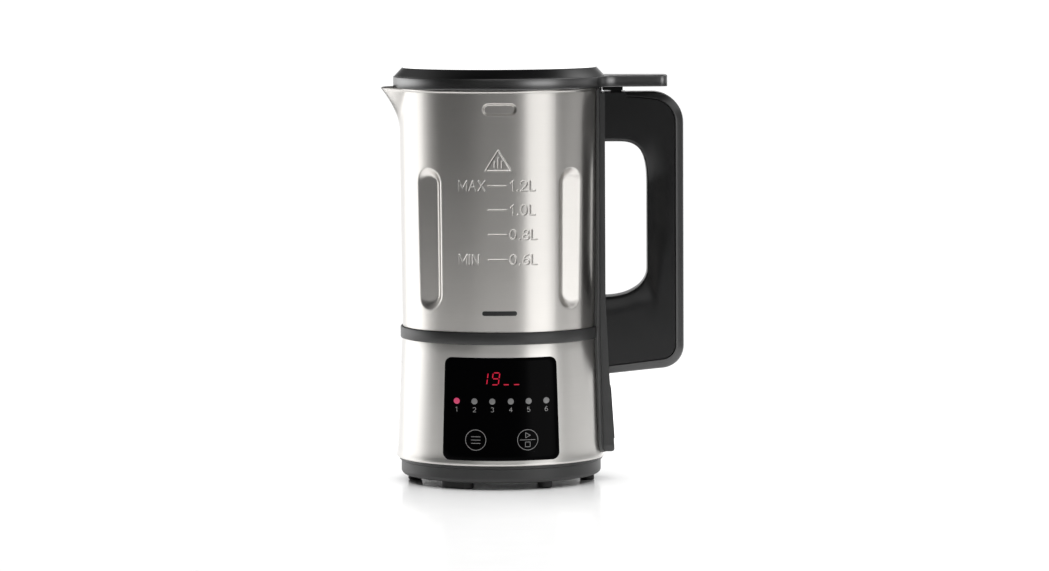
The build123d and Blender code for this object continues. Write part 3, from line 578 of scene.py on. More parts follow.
# a soft light above the camera, in the same two measures
UPPER_RING = (
    (-180, 0.1), (-70, 0.1), (-36, 0.2), (-26, 0.6), (-14, 1.0), (10, 1.1), (24, 1.0), (42, 0.5), (55, 1.2),
    (120, 1.2), (150, 0.1),
)
UPPER_HEIGHT = ((-1, 0.0), (0.3, 0.0), (0.42, 1.0), (0.66, 1.0), (0.8, 0.0), (1.0, 0.0))
TABLE_R, TABLE_BACK, TABLE_LOW = 620.0, 180.0, 0.02
LIGHT_SIDE, LIGHT_HEIGHT, LIGHT_WATTS = 2.4, 1.5, 70


def add_world():
    """A soft studio: strip lights and grey flats round the object, told apart by azimuth."""
    world = bpy.data.worlds.new("studio")
    bpy.context.scene.world = world
    world.use_nodes = True
    n = Nodes(world.node_tree)
    n.tree.nodes.clear()
    split = n.add("SeparateXYZ")
    n.link(n.add("TexCoord").outputs["Generated"], split.inputs[0])
    x, y, z = split.outputs
    azimuth = n.maths("ARCTAN2", x, n.maths("MULTIPLY", y, -1.0))
    around = n.maths("ADD", n.maths("DIVIDE", azimuth, 2 * math.pi), 0.5)
    upward = n.maths("ADD", n.maths("MULTIPLY", z, 0.5), 0.5)

    def lights(ring, height):
        by_azimuth = [(degrees / 360 + 0.5, grey(light / RING_SCALE)) for degrees, light in ring]
        by_height = [(at / 2 + 0.5, grey(share)) for at, share in height]
        return n.maths("MULTIPLY", n.ramp(around, by_azimuth), n.ramp(upward, by_height))

    studio = n.add("Background", Strength=RING_SCALE)
    both = n.maths("ADD", lights(STUDIO_RING, STUDIO_HEIGHT), lights(UPPER_RING, UPPER_HEIGHT))
    n.link(both, studio.inputs["Color"])
    backdrop = n.add("Background", Color=(1, 1, 1, 1), Strength=BACKDROP)
    seen = n.add("LightPath").outputs["Is Camera Ray"]
    choose = n.add("MixShader")
    for socket, value in zip(choose.inputs, (seen, studio.outputs[0], backdrop.outputs[0])):
        n.link(value, socket)
    n.link(choose.outputs[0], n.add("OutputWorld").inputs[0])


def add_floor():
    """A pale, slightly glossy table top, just under the feet."""
    outline = np.array(disc(0, TABLE_BACK, TABLE_R, 96))
    n = Look("table")
    n.tint(n.noise(40, 2), grey(0.8), 0.01)
    n.set(Roughness=0.16, Specular_IOR_Level=0.15)
    floor = make_mesh("table", level(*outline.T, -TABLE_LOW), [tuple(range(len(outline)))], n.material)
    return floor


def add_lights(floor):
    """A large soft light overhead that falls on the table only, so the table is white round the base."""
    data = bpy.data.lights.new("table_light", "AREA")
    data.shape, data.size, data.size_y, data.energy = "RECTANGLE", LIGHT_SIDE, LIGHT_SIDE, LIGHT_WATTS
    light = add_object("table_light", data)
    light.location = (AXIS_X, 0.0, LIGHT_HEIGHT)
    lit = bpy.data.collections.new("lit_by_table_light")
    lit.objects.link(floor)
    light.light_linking.receiver_collection = lit


# --- jug ---
HALF_SIGN = 0.3
# strokes of each sign in a box one unit high, and how far along the next sign starts
SIGNS = {
    "0": ([arc(0.3, 0.5, 0.3, 0.5, 0, 360, 20)], 0.92),
    "1": ([[(0.08, 0.78), (0.32, 1), (0.32, 0)]], 0.7),
    "2": ([arc(0.3, 0.7, 0.3, 0.3, 170, -35) + [(0, 0), (0.62, 0)]], 0.92),
    "3": ([arc(0.28, 0.75, 0.28, 0.25, 150, -90) + arc(0.28, 0.25, 0.32, 0.25, 90, -150)], 0.88),
    "4": ([[(0.46, 0), (0.46, 1), (0, 0.3), (0.66, 0.3)]], 0.88),
    "5": ([[(0.56, 1), (0.08, 1), (0.04, 0.56)] + arc(0.28, 0.32, 0.32, 0.32, 120, -150)], 0.88),
    "6": ([arc(0.3, 0.3, 0.3, 0.3, 0, 360, 16), arc(0.62, 0.34, 0.62, 0.68, 100, 180)], 0.88),
    "8": ([arc(0.3, 0.75, 0.25, 0.25, 0, 360, 16), arc(0.3, 0.25, 0.3, 0.25, 0, 360, 16)], 0.88),
    ".": ([[(0.06, 0), (0.06, 0.05)]], 0.42),
    "L": ([[(0, 1), (0, 0), (0.5, 0)]], 0.7),
    "M": ([[(0, 0), (0, 1), (0.4, 0.25), (0.8, 1), (0.8, 0)]], 1.05),
    "A": ([[(0, 0), (0.36, 1), (0.72, 0)], [(0.13, 0.36), (0.59, 0.36)]], 0.95),
    "X": ([[(0, 0), (0.66, 1)], [(0, 1), (0.66, 0)]], 0.9),
    "I": ([[(0, 0), (0, 1)]], 0.32),
    "N": ([[(0, 0), (0, 1), (0.62, 0), (0.62, 1)]], 0.9),
}


def written(text, x, z, height):
    """Strokes of a line of text that starts at x and is centred on z."""
    strokes = []
    for sign in text:
        shapes, advance = SIGNS[sign]
        strokes += [[(x + px * height, z + (pz - 0.5) * height) for px, pz in shape] for shape in shapes]
        x += advance * height
    return strokes


def engraved_strokes():
    """The warning sign with its three bars, and the level marks with their numbers and words."""
    left, right = (SIGN_X - SIGN_HALF, SIGN_LOW), (SIGN_X + SIGN_HALF, SIGN_LOW)
    strokes = [[left, right, (SIGN_X, SIGN_TOP), left]]
    strokes += [[(x, SIGN_BAR_FOOT), (x, top)] for x, top in SIGN_BARS]
    for z, number, word in LEVELS:
        strokes.append([(TICK_LEFT, z), (TICK_RIGHT, z)])
        strokes += written(number, NUMBER_X, z, LETTER_HEIGHT)
        strokes += written(word, WORD_X, z, LETTER_HEIGHT)
    return strokes


# spans in degrees where each pressed shape is looked for, and the marks' lowest and highest heights
FLUTE_SPAN, FACING_SPAN, SLOT_SPAN, MARKS_SPAN = 20, 60, 60, 40
MARKS_LOW, MARKS_TOP, FAR_AWAY = 140, 222, 99.0


def stroke_distance(x, z, strokes):
    """Distance from each point to the nearest stroke."""
    nearest = np.full(x.shape, FAR_AWAY)
    for stroke in strokes:
        for (ax, az), (bx, bz) in zip(stroke, stroke[1:]):
            run, rise = bx - ax, bz - az
            along = np.clip(((x - ax) * run + (z - az) * rise) / max(run ** 2 + rise ** 2, 1e-9), 0, 1)
            nearest = np.minimum(nearest, np.hypot(x - ax - along * run, z - az - along * rise))
    return nearest


def soft_min(a, b, width):
    """The smaller of two depths, blended where they are close."""
    share = np.clip(0.5 + 0.5 * (b - a) / width, 0, 1)
    return b * (1 - share) + a * share - width * share * (1 - share)


def soft_positive(value, width):
    """Zero below -width, the value itself above width, and a smooth curve between."""
    middle = (value + width) ** 2 / (4 * width)
    return np.where(value <= -width, 0, np.where(value >= width, value, middle))


def turned_from(degrees, place_angle):
    """Angle from a place round the jug, between -180 and 180."""
    return (degrees - place_angle + 180) % 360 - 180


def spout_reach(degrees, z):
    """How far the pouring lip flares out of the round wall, fading smoothly to each side."""
    up = np.clip((z - SPOUT_LOW) / (JUG_TOP - SPOUT_LOW), 0, 1)
    tip = (SPOUT_TIP - JUG_R_TOP - SPOUT_CLEARANCE) * up ** SPOUT_CURVE
    half_angle = SPOUT_HALF_LOW + (SPOUT_HALF_TOP - SPOUT_HALF_LOW) * up
    across = np.abs(turned_from(degrees, -90)) / half_angle
    return tip * np.cos(np.clip(across, 0, 1) * math.pi / 2) ** 2


def flute_depth(degrees, z):
    """Depth of the four pressed flutes: a flat floor inside a bevelled slot outline."""
    depth = np.zeros(degrees.shape)
    mid_r = jug_r(FLUTE_MID_Z)
    for place_angle, facing in FLUTES:
        floor_at = (mid_r - FLUTE_DEPTH) * math.cos(math.radians(place_angle - facing))
        off = turned_from(degrees, place_angle)
        toward = np.radians(np.clip(turned_from(degrees, facing), -FACING_SPAN, FACING_SPAN))
        floor_depth = jug_r(z) - floor_at / np.cos(toward)
        ends = np.maximum(np.abs(z - FLUTE_MID_Z) - (FLUTE_HALF_HEIGHT - FLUTE_HALF_WIDTH), 0)
        inside = FLUTE_HALF_WIDTH - np.hypot(np.radians(off) * mid_r, ends)
        pressed = soft_min(floor_depth, inside * FLUTE_WALL_SLOPE, FLUTE_FLOOR_BLEND)
        pressed = soft_positive(pressed, FLUTE_EDGE_BLEND)
        depth = np.where(np.abs(off) < FLUTE_SPAN, np.maximum(depth, pressed), depth)
    return depth


def slot_depth(degrees, z):
    """Depth of the short level slot pressed in under the front of the rim."""
    x = jug_r(z) * np.sin(np.radians(degrees))
    ends = np.maximum(np.abs(x) - (SLOT_HALF_WIDTH - SLOT_HALF_HEIGHT), 0)
    inside = SLOT_HALF_HEIGHT - np.hypot(ends, z - SLOT_MID_Z)
    return np.where(np.abs(degrees) < SLOT_SPAN, SLOT_DEPTH * smooth(inside / SLOT_BEVEL), 0)


def pressed_wall(degrees, z):
    """Radius of the jug's wall with its lip, flutes and slot."""
    return jug_r(z) + spout_reach(degrees, z) - flute_depth(degrees, z) - slot_depth(degrees, z)


def rim_bead(degrees, z):
    """How far the rolled rim stands proud, less so over the lip."""
    across = np.clip((z - (JUG_TOP - BEAD_HEIGHT)) / BEAD_HEIGHT * 2 - 1, -1, 1)
    fade = 1 - BEAD_FADE * smooth(spout_reach(degrees, z) / BEAD_FADE_REACH)
    return BEAD_PROUD * np.sqrt(1 - across ** 2) * fade


def engraving(degrees, z):
    """Depth of the engraved marks, worked out only on the part of the front where they lie."""
    x = jug_r(z) * np.sin(np.radians(degrees))
    marks = np.full(x.shape, FAR_AWAY)
    near_marks = (np.abs(degrees) < MARKS_SPAN) & (z > MARKS_LOW) & (z < MARKS_TOP)
    marks[near_marks] = stroke_distance(x[near_marks], z[near_marks], engraved_strokes())
    return MARK_DEPTH * (1 - smooth((marks - MARK_FLAT) / MARK_BEVEL))


# spacing of the jug's mesh: millimetres up the wall, and degrees round it for the turns
FINE, TEXT_REACH, LINE_REACH = 0.22, 27.5, 3.9
WALL_STEP, INNER_STEP, SPOUT_STEP, FLUTE_STEP = 4.0, 3.0, 1.5, 0.8
SIGN_STEP, SLOT_STEP, BEAD_STEP = 0.35, 0.3, 0.15
TURN_STEP, LIP_TURN_STEP, FLUTE_TURN, FLUTE_TURN_STEP = 3.0, 1.6, 12, 0.8


def spread_values(*ranges):
    """Sorted values from (low, high, step) ranges, where a finer range wins over a coarser one."""
    values = []
    for low, high, step in sorted(ranges, key=lambda item: item[2]):
        for value in np.arange(low, high + step / 2, step):
            if not values or np.min(np.abs(np.array(values) - value)) > step * 0.6:
                values.append(float(value))
    return np.array(sorted(values))


def jug_columns():
    fine = math.degrees(FINE / JUG_R_LOW)
    reach = math.degrees(math.asin(TEXT_REACH / JUG_R_LOW))
    flutes = [(turn - FLUTE_TURN, turn + FLUTE_TURN, FLUTE_TURN_STEP) for turn, _ in FLUTES]
    return spread_values((-reach, reach, fine), (-120, -60, LIP_TURN_STEP), (-178, 180, TURN_STEP), *flutes)


def jug_rows():
    text = [(z - LINE_REACH, z + LINE_REACH, FINE) for z, _, _ in LEVELS]
    low, high = FLUTE_MID_Z - FLUTE_HALF_HEIGHT, FLUTE_MID_Z + FLUTE_HALF_HEIGHT
    ends = [(low - 2, low + 11, FLUTE_STEP), (high - 11, high + 2, FLUTE_STEP)]
    sign = (SIGN_LOW - 1.4, SIGN_TOP + 1.2, SIGN_STEP)
    bead = (JUG_TOP - BEAD_HEIGHT - 0.1, JUG_TOP, BEAD_STEP)
    slot = (SLOT_MID_Z - 5, SLOT_MID_Z + 5, SLOT_STEP)
    return spread_values((JUG_LOW, JUG_TOP, WALL_STEP), (SPOUT_LOW, JUG_TOP, SPOUT_STEP), sign, bead, slot,
                         *text, *ends)


def floor_corner(wall_r, low, first, last):
    """(radius, height) pairs along the rounded corner between the jug's floor and its wall."""
    return [(wall_r - FLOOR_CORNER * (1 - math.sin(turn)), low + FLOOR_CORNER * (1 - math.cos(turn)))
            for turn in np.radians(np.linspace(first, last, 5))]


def jug_vessel():
    """The drawn steel jug: a thin closed wall with flutes, level marks, slot, lip and rolled rim."""
    columns = jug_columns()
    steps = len(columns)
    degrees, z = np.meshgrid(columns, jug_rows())
    outer = pressed_wall(degrees, z) + rim_bead(degrees, z) - engraving(degrees, z)
    inner_rows = spread_values((JUG_LOW + JUG_WALL, JUG_TOP, INNER_STEP), (SPOUT_LOW, JUG_TOP, SPOUT_STEP))
    in_degrees, in_z = np.meshgrid(columns, inner_rows[::-1])
    inner = pressed_wall(in_degrees, in_z) - JUG_WALL

    low_r, floor_low = jug_r(JUG_LOW), JUG_LOW - FLOOR_DROP
    inner_low = floor_low + JUG_WALL
    rings = [(SHAFT_HOLE_R, floor_low)] + floor_corner(low_r, floor_low, 0, 80) + [(outer, z), (inner, in_z)]
    rings += floor_corner(low_r - JUG_WALL, inner_low, 80, 0) + [(SHAFT_HOLE_R, inner_low)]
    radius, height = (np.vstack([np.zeros(steps) + values for values in row]) for row in zip(*rings))
    turn = np.radians(np.tile(columns, (len(radius), 1)))
    points = np.stack([radius * np.sin(turn), -radius * np.cos(turn), height], axis=-1)
    piece = make_mesh("jug_wall", points, grid_faces(len(radius), steps, True), JUG_STEEL, sharp=60)
    finished(piece, "brushed_steel", "jug_vessel")


def over_front(x, z, radius):
    """A point on the front of a round wall."""
    return np.stack([x, -np.sqrt(radius ** 2 - x ** 2), z * np.ones_like(x)], axis=-1)


def on_panel(x, z, height):
    """A point over the touch panel's face, which follows the base's slightly coned wall."""
    return over_front(x, z, skirt_r(z) + PANEL_PROUD + height)


def on_jug(x, z, height):
    return over_front(x, z, jug_r(z) + height)


def name_bar():
    """A plain dark bar printed low on the jug."""
    outline = rounded(rectangle(BAR_LEFT, BAR_RIGHT, BAR_LOW, BAR_TOP), BAR_CORNER)
    shape = pad_mesh(subdivided(outline, 2.0), on_jug, -0.05, 0.06, 0.04, 3)
    finished(joined("jug_bar", [shape], MARK_DARK), "dark_trim")


# --- base ---
def base_skirt():
    """The brushed shell round the base: a cone that flares softly into its lower edge."""
    low, lip, top, top_r = SKIRT_LOW, SKIRT_LIP_R, SKIRT_TOP, SKIRT_R_TOP
    # (how far in from the lip, height above the shell's foot)
    foot = ((0.9, 0.05), (0.4, 0), (0.1, 0.25), (0, 0.7), (0.05, 1.5), (0.3, 2.6), (0.62, 4), (0.87, 6))
    outer = [(lip - inward, low + up) for inward, up in foot]
    outer += [(skirt_r(z), z) for z in np.linspace(low + 8.5, top - 0.5, 12)]
    outer += [(top_r - 0.08, top - 0.15), (top_r - 0.3, top)]
    inner = [(top_r - SKIRT_WALL, top - 0.1), (skirt_r(low + 9) - SKIRT_WALL, low + 9),
             (lip - 2 * SKIRT_WALL, low + 0.4)]
    skirt = lathe("skirt_shell", outer + inner, BASE_STEEL)
    cut(skirt, inlet_cutter("skirt_window"), sharp=30)
    finished(skirt, "brushed_steel", "base_skirt")


def decor_band():
    """The dark band between the base and the jug, with softened edges."""
    low, top, r = BAND_LOW, BAND_TOP, BAND_R
    outline = [(BAND_INNER_R, low + 0.02), (r - 0.5, low + 0.02), (r - 0.15, low + 0.15), (r, low + 0.6),
               (r, top - 1.0), (r - 0.2, top - 0.4), (r - 0.7, top),
               (BAND_STEP_R, top), (BAND_STEP_R, BAND_STEP_Z), (BAND_INNER_R, BAND_STEP_Z)]
    finished(lathe("waist_band", outline, MATERIALS["dark_trim"]), "dark_trim", "decor_band")


def seven_segment(lit, x, z):
    """The lit bars of a slanted digit centred on x and z."""
    w, h, half = DIGIT_HALF_WIDTH, DIGIT_HALF_HEIGHT, DIGIT_HALF_LINE
    ends = {"a": ((-w, h), (w, h)), "g": ((-w, 0), (w, 0)), "d": ((-w, -h), (w, -h)), "b": ((w, h), (w, 0)),
            "c": ((w, 0), (w, -h)), "f": ((-w, h), (-w, 0))}
    bars = []
    for bar in lit:
        first, last = (np.array(end, float) for end in ends[bar])
        along = (last - first) / np.linalg.norm(last - first)
        side = np.array((-along[1], along[0])) * half
        first, last = first + along * DIGIT_GAP, last - along * DIGIT_GAP
        corners = [first, first + along * half - side, last - along * half - side, last,
                   last - along * half + side, first + along * half + side]
        bars.append([(x + c[0] + c[1] * DIGIT_SLANT, z + c[1]) for c in corners])
    return bars


def key_strokes():
    """Two ringed keys: three bars in the left one, and a line, a triangle and a square in the right one."""
    strokes = []
    for x in (KEY_LEFT_X, KEY_RIGHT_X):
        ring = disc(x, KEY_Z, KEY_R, 48)
        strokes.append(ring + ring[:1])
    square = rectangle(-1.5, 1.5, -4.4, -1.4)
    triangle = [(-1.3, 1.3), (1.7, 2.9), (-1.3, 4.5)]
    left = [[(-3.0, z), (3.0, z)] for z in (-2.1, 0.0, 2.1)]
    right = [[(-4.9, 0), (4.9, 0)], triangle + triangle[:1], square + square[:1]]
    for middle, shapes in ((KEY_LEFT_X, left), (KEY_RIGHT_X, right)):
        strokes += [[(middle + x, KEY_Z + z) for x, z in shape] for shape in shapes]
    return strokes


def printed(name, outlines, material, slot):
    """Thin flat shapes on the touch panel's face."""
    shapes = [pad_mesh(outline, on_panel, PRINT_LOW, PRINT_HIGH, PRINT_BEVEL) for outline in outlines]
    finished(joined(name, shapes, material), slot)


def touch_panel():
    """The glossy black panel, with lamps, numbers, two keys and red digits printed or lit on it."""
    corners = [(-PANEL_HALF_LOW, PANEL_LOW), (PANEL_HALF_LOW, PANEL_LOW), (PANEL_HALF_TOP, PANEL_TOP),
               (-PANEL_HALF_TOP, PANEL_TOP)]
    outline = subdivided(rounded(corners, PANEL_CORNER), 3.0)
    shape = pad_mesh(outline, on_panel, -PANEL_SUNK, 0.0, PANEL_BEVEL, 14)
    finished(joined("panel_glass", [shape], MATERIALS["panel_black"]), "panel_black", "touch_panel")

    strokes = []
    for index, x in enumerate(LED_X):
        strokes += written(str(index + 1), x - HALF_SIGN * NUMERAL_HEIGHT, NUMERAL_Z, NUMERAL_HEIGHT)
    strokes += key_strokes()
    lines = [ribbon_mesh(stroke, on_panel, PRINT_LINE, PRINT_LOW, PRINT_HIGH) for stroke in strokes]
    finished(joined("panel_print", lines, PRINT_GREY), "panel_black")

    lamps = [disc(x, LED_Z, LED_R) for x in LED_X]
    printed("lamps_off", lamps[1:], LAMP_OFF, "lamp")
    printed("lamp_lit", lamps[:1], LAMP_LIT, "lamp")
    bars = [bar for x, lit in DIGITS for bar in seven_segment(lit, x, DIGIT_Z)]
    printed("display_digits", bars, DIGIT_RED, "display_lens")


# --- rail ---
def cover_x(z):
    """X of the rail cover's outer face, which slopes out below the handle's gap."""
    heights = (RAIL_LOW, HEEL_Z, HOLE_LOW, JUG_TOP)
    return np.interp(z, heights, (COVER_X_LOW, COVER_X_HEEL, COVER_X, COVER_X))


def rail_r(z):
    return np.interp(z, (RAIL_LOW, SKIRT_TOP), (RAIL_R_LOW, RAIL_R_TOP))


def rail_half_width(z):
    """Half the rail's width, which narrows upwards and has rounded lower corners."""
    heights = (RAIL_LOW, SKIRT_TOP, RAIL_STRAIGHT_Z, RAIL_TOP)
    wide = np.interp(z, heights, (RAIL_HALF_LOW, RAIL_HALF_WAIST, RAIL_HALF_TOP, RAIL_HALF_TOP))
    below = min(max(RAIL_CORNER - (z - RAIL_LOW), 0), RAIL_CORNER)
    return wide - (RAIL_CORNER - math.sqrt(RAIL_CORNER ** 2 - below ** 2))


def wall_behind_rail(z):
    """Radius of whatever the rail lies on at a height: base shell, band or jug."""
    if z < SKIRT_TOP:
        return skirt_r(z)
    return BAND_R if z < BAND_TOP + BAND_CLEARANCE else jug_r(z)


def rail_loop(z):
    """Cross-section of the rail at a height, as points round the jug's axis with softened outer edges."""
    outer, inner = rail_r(z), wall_behind_rail(z) + RAIL_GAP
    wide = math.degrees(math.asin(rail_half_width(z) / outer))
    edge = min(RAIL_EDGE, (outer - inner) * 0.45)
    edge_turn = math.degrees(edge / outer)
    left = [(-wide + edge_turn * (1 - math.cos(t)), outer - edge + edge * math.sin(t))
            for t in np.radians((0, 22, 45, 68, 90))]
    flat = [(turn, outer) for turn in np.linspace(-wide + edge_turn, wide - edge_turn, 11)[1:-1]]
    right = [(-turn, r) for turn, r in left[::-1]]
    back = [(turn, inner) for turn in np.linspace(wide, -wide, 11)]
    return [(r * math.cos(math.radians(turn)), r * math.sin(math.radians(turn)), z)
            for turn, r in left + flat + right + back]


def inlet_cutter(name):
    """The tilted opening in the wall behind the rail, where the mains inlet passes through."""
    slope = math.atan2(COVER_X_LOW - COVER_X_HEEL, HEEL_Z - RAIL_LOW)
    out, up = (math.cos(slope), 0, math.sin(slope)), (-math.sin(slope), 0, math.cos(slope))
    tilted = plane((cover_x(INLET_Z), 0, INLET_Z), Y, up, out)
    opening = rectangle(-INLET_HALF_WIDE, INLET_HALF_WIDE, -INLET_HALF_TALL, INLET_HALF_TALL)
    return prism(name, rounded(opening, INLET_CORNER), tilted, *INLET_REACH)


def rail_flange():
    """The strip that follows the wall from the base to the rim, with softened edges."""
    runs = [np.linspace(RAIL_LOW, RAIL_LOW + RAIL_CORNER, 8),
            np.linspace(RAIL_LOW + RAIL_CORNER + 4, SKIRT_TOP - 0.2, 12),
            (SKIRT_TOP, BAND_TOP + RAIL_GAP, BAND_TOP + 0.2), np.linspace(RAIL_PLAIN_Z, RAIL_VISUAL_TOP, 16)]
    loops = [rail_loop(z) for z in np.concatenate(runs)]
    faces = [face[::-1] for face in tube_faces(len(loops), len(loops[0]))]
    strip = make_mesh("rail_strip", np.array(loops), faces, RAIL_GREY)
    facing_out = plane((0, 0, 0), Y, Z, X)
    bores = [prism(f"stud_bore_{z:.0f}", disc(0, z, STUD_BORE, 20), facing_out, *STUD_REACH)
             for z in STUD_HEIGHTS]
    cut(strip, inlet_cutter("rail_window"), *bores)
    finished(strip, "dark_trim", "rail_flange")


# --- handle ---
TOP_ROWS, CORNER_ROWS, COLUMN_ROWS, LOW_ROWS, START_ROWS, ROW_GAP = 16, 14, 40, 16, 6, 0.02
# angles on the hole's two ovals where the rows pass from one run to the next
CORNER_START, CORNER_END, LOW_CORNER_END = 60, 20, -60


def outer_line(inset):
    """Points along the handle's outer edge, moved inwards: from the top round to the heel."""
    right, top = HANDLE_OUT - inset, GRIP_TOP - inset
    low_right = GRIP_BOTTOM + inset * 1.05
    heel = (cover_x(HEEL_Z + inset), HEEL_Z + inset)
    r_top, r_low = SPINE_R_TOP - inset, SPINE_R_LOW - inset
    slope = math.degrees(math.atan2(low_right - heel[1], right - heel[0]))
    low_z = low_right + r_low * math.tan(math.radians(90 - slope) / 2)
    low_end = arc(right - r_low, low_z, r_low, r_low, 0, -90 + slope, CORNER_ROWS)
    return (line((SPINE_START_X, top), (right - r_top, top), TOP_ROWS)
            + arc(right - r_top, top - r_top, r_top, r_top, 90, 0, CORNER_ROWS)[:-1]
            + line((right, top - r_top), (right, low_z), COLUMN_ROWS)
            + low_end[:-1] + line(low_end[-1], heel, LOW_ROWS) + [heel])


def seam_line():
    """The seam between grip and spine: close to the edge on top, and deeper down the back."""
    shallow, deep = outer_line(GRIP_SPINE_TOP), outer_line(GRIP_SPINE)
    shares = [smooth(index / (TOP_ROWS + CORNER_ROWS)) for index in range(len(deep))]
    return [(a[0] + (b[0] - a[0]) * share, a[1] + (b[1] - a[1]) * share)
            for a, b, share in zip(shallow, deep, shares)]


def oval_point(oval, degrees):
    """A point on a squared-off oval, given as centre, half sizes and squareness."""
    x, z, half_x, half_z, squareness = oval
    c, s = math.cos(math.radians(degrees)), math.sin(math.radians(degrees))
    power = 2 / squareness
    return (x + half_x * math.copysign(abs(c) ** power, c), z + half_z * math.copysign(abs(s) ** power, s))


def oval_run(oval, start, end, count):
    """Points along a squared-off oval, without the last one."""
    return [oval_point(oval, start + (end - start) * k / count) for k in range(count)]


def hole_edge(at, axis):
    """Z of the finger hole's upper edge at an X (axis 0), or X of its outer edge at a Z (axis 1)."""
    middle, half, squareness = HOLE_TOP_OVAL[:2], HOLE_TOP_OVAL[2:4], HOLE_TOP_OVAL[4]
    along = max(at - middle[axis], 0) / half[axis]
    return middle[1 - axis] + half[1 - axis] * (1 - along ** squareness) ** (1 / squareness)


def hole_line():
    """Points along the finger hole's edge, matched row for row with the seam."""
    top_end = oval_point(HOLE_TOP_OVAL, CORNER_START)[0]
    column_top, column_low = oval_point(HOLE_TOP_OVAL, CORNER_END)[1], HOLE_LOW_OVAL[1]
    top = [(x, hole_edge(x, 0)) for x, _ in line((HOLE_START_X, 0), (top_end, 0), TOP_ROWS)]
    column = [(hole_edge(z, 1), z) for _, z in line((0, column_top), (0, column_low), COLUMN_ROWS)]
    return (top + oval_run(HOLE_TOP_OVAL, CORNER_START, CORNER_END, CORNER_ROWS) + column
            + oval_run(HOLE_LOW_OVAL, 0, LOW_CORNER_END, CORNER_ROWS)
            + oval_run(HOLE_LOW_OVAL, LOW_CORNER_END, -90, LOW_ROWS) + [(COVER_X, HOLE_LOW)])


def sweep(name, starts, ends, sections, material, sharp=40):
    """A closed solid through matched rows, where a section gives (distance from the start, y) points."""
    rows = []
    for start, end, section in zip(starts, ends, sections):
        start, end = np.array(start), np.array(end)
        length = np.linalg.norm(end - start)
        along = (end - start) / length
        rows.append([(*(start + along * far), y) for far, y in section(length)])
    points = np.array([[(x, y, z) for x, z, y in row] for row in rows])
    return make_mesh(name, points, tube_faces(*points.shape[:2]), material, sharp)


def both_sides(side, length):
    """A whole cross-section from its half on one side, which starts on the middle plane."""
    return side + [(length, 0.0)] + [(far, -y) for far, y in side[:0:-1]]


def grip_section(x, z):
    """Cross-section of the grip from the hole's edge out to the seam, given where it crosses the hole.

    The grip is thinnest beside the hole: most of all down its column, and a little under the hole.
    """
    on_column = smooth((x - COLUMN_X) / COLUMN_X_FADE) * smooth((z - COLUMN_LOW) / COLUMN_LOW_FADE)
    on_column *= smooth((COLUMN_TOP - z) / COLUMN_TOP_FADE)
    under_hole = smooth((LOW_TOP - z) / LOW_TOP_FADE)

    def half_thickness(far, length):
        column = 1 - smooth(far / min(length - SEAM_MARGIN, COLUMN_REACH)) if on_column > 0 else 0
        low = 1 - smooth(far / LOW_REACH)
        return HALF_GRIP - COLUMN_DROP * on_column * column - LOW_DROP * under_hole * low

    def section(length):
        at_edge = half_thickness(0, length)
        side = [(0.0, 0.0), (0.0, (at_edge - HOLE_EDGE) * 0.5)]
        for turn in np.radians((0, 15, 30, 45, 60, 75)):
            far = HOLE_EDGE * (1 - math.cos(turn))
            side.append((far, half_thickness(far, length) - HOLE_EDGE * (1 - math.sin(turn))))
        for far in np.linspace(HOLE_EDGE, length - SEAM_BEVEL, 13):
            side.append((far, half_thickness(far, length)))
        side += [(length, HALF_GRIP - SEAM_BEVEL), (length, HALF_GRIP * 0.5)]
        return both_sides(side, length)

    return section


def handle_grip():
    """The grip: a C round the finger hole, thinner along its column, with rounded hole edges."""
    seam_start = (SPINE_START_X - ROW_GAP, GRIP_TOP)
    top_seam = line((COVER_X, GRIP_TOP), seam_start, START_ROWS) + [seam_start]
    top_hole = [(x, hole_edge(x, 0)) for x in np.linspace(COVER_X, HOLE_START_X - ROW_GAP, START_ROWS + 1)]
    starts, ends = top_hole + hole_line(), top_seam + seam_line()
    sections = [grip_section(x, z) for x, z in starts]
    grip = sweep("grip_body", starts, ends, sections, MATERIALS["handle_charcoal"])
    pocket = rectangle(POCKET_IN, POCKET_OUT, -POCKET_HALF, POCKET_HALF)
    cut(grip, prism("socket_pocket", pocket, level, POCKET_FLOOR, GRIP_TOP + 2))
    finished(grip, "handle_charcoal", "handle_grip")


def spine_section(length):
    """From the seam out to the back of the handle: bevel, broad chamfer, rounding, flat back."""
    side = [(0.0, 0.0), (0.0, HALF_GRIP - SEAM_BEVEL), (0.35, HALF_GRIP - 0.1), (0.6, HALF_GRIP - 0.15)]
    # (share of the way to the back, half the thickness there)
    shares = ((0.35, 13.9), (0.6, 12.9), (0.82, 11.9), (0.93, 11.0), (0.985, 9.8), (1.0, 8.2))
    return both_sides(side + [(length * share, y) for share, y in shares], length)


def handle_spine():
    """The strip that closes the handle's back, from the top seam round to the heel."""
    seam = seam_line()
    # drawn in the lighter copy of the charcoal, which paints the highlight along the spine's chamfer
    spine = sweep("handle_back", seam, outer_line(0.0), [spine_section] * len(seam), SPINE_PAINTED_HIGHLIGHT, 30)
    finished(spine, "handle_charcoal", "handle_spine")


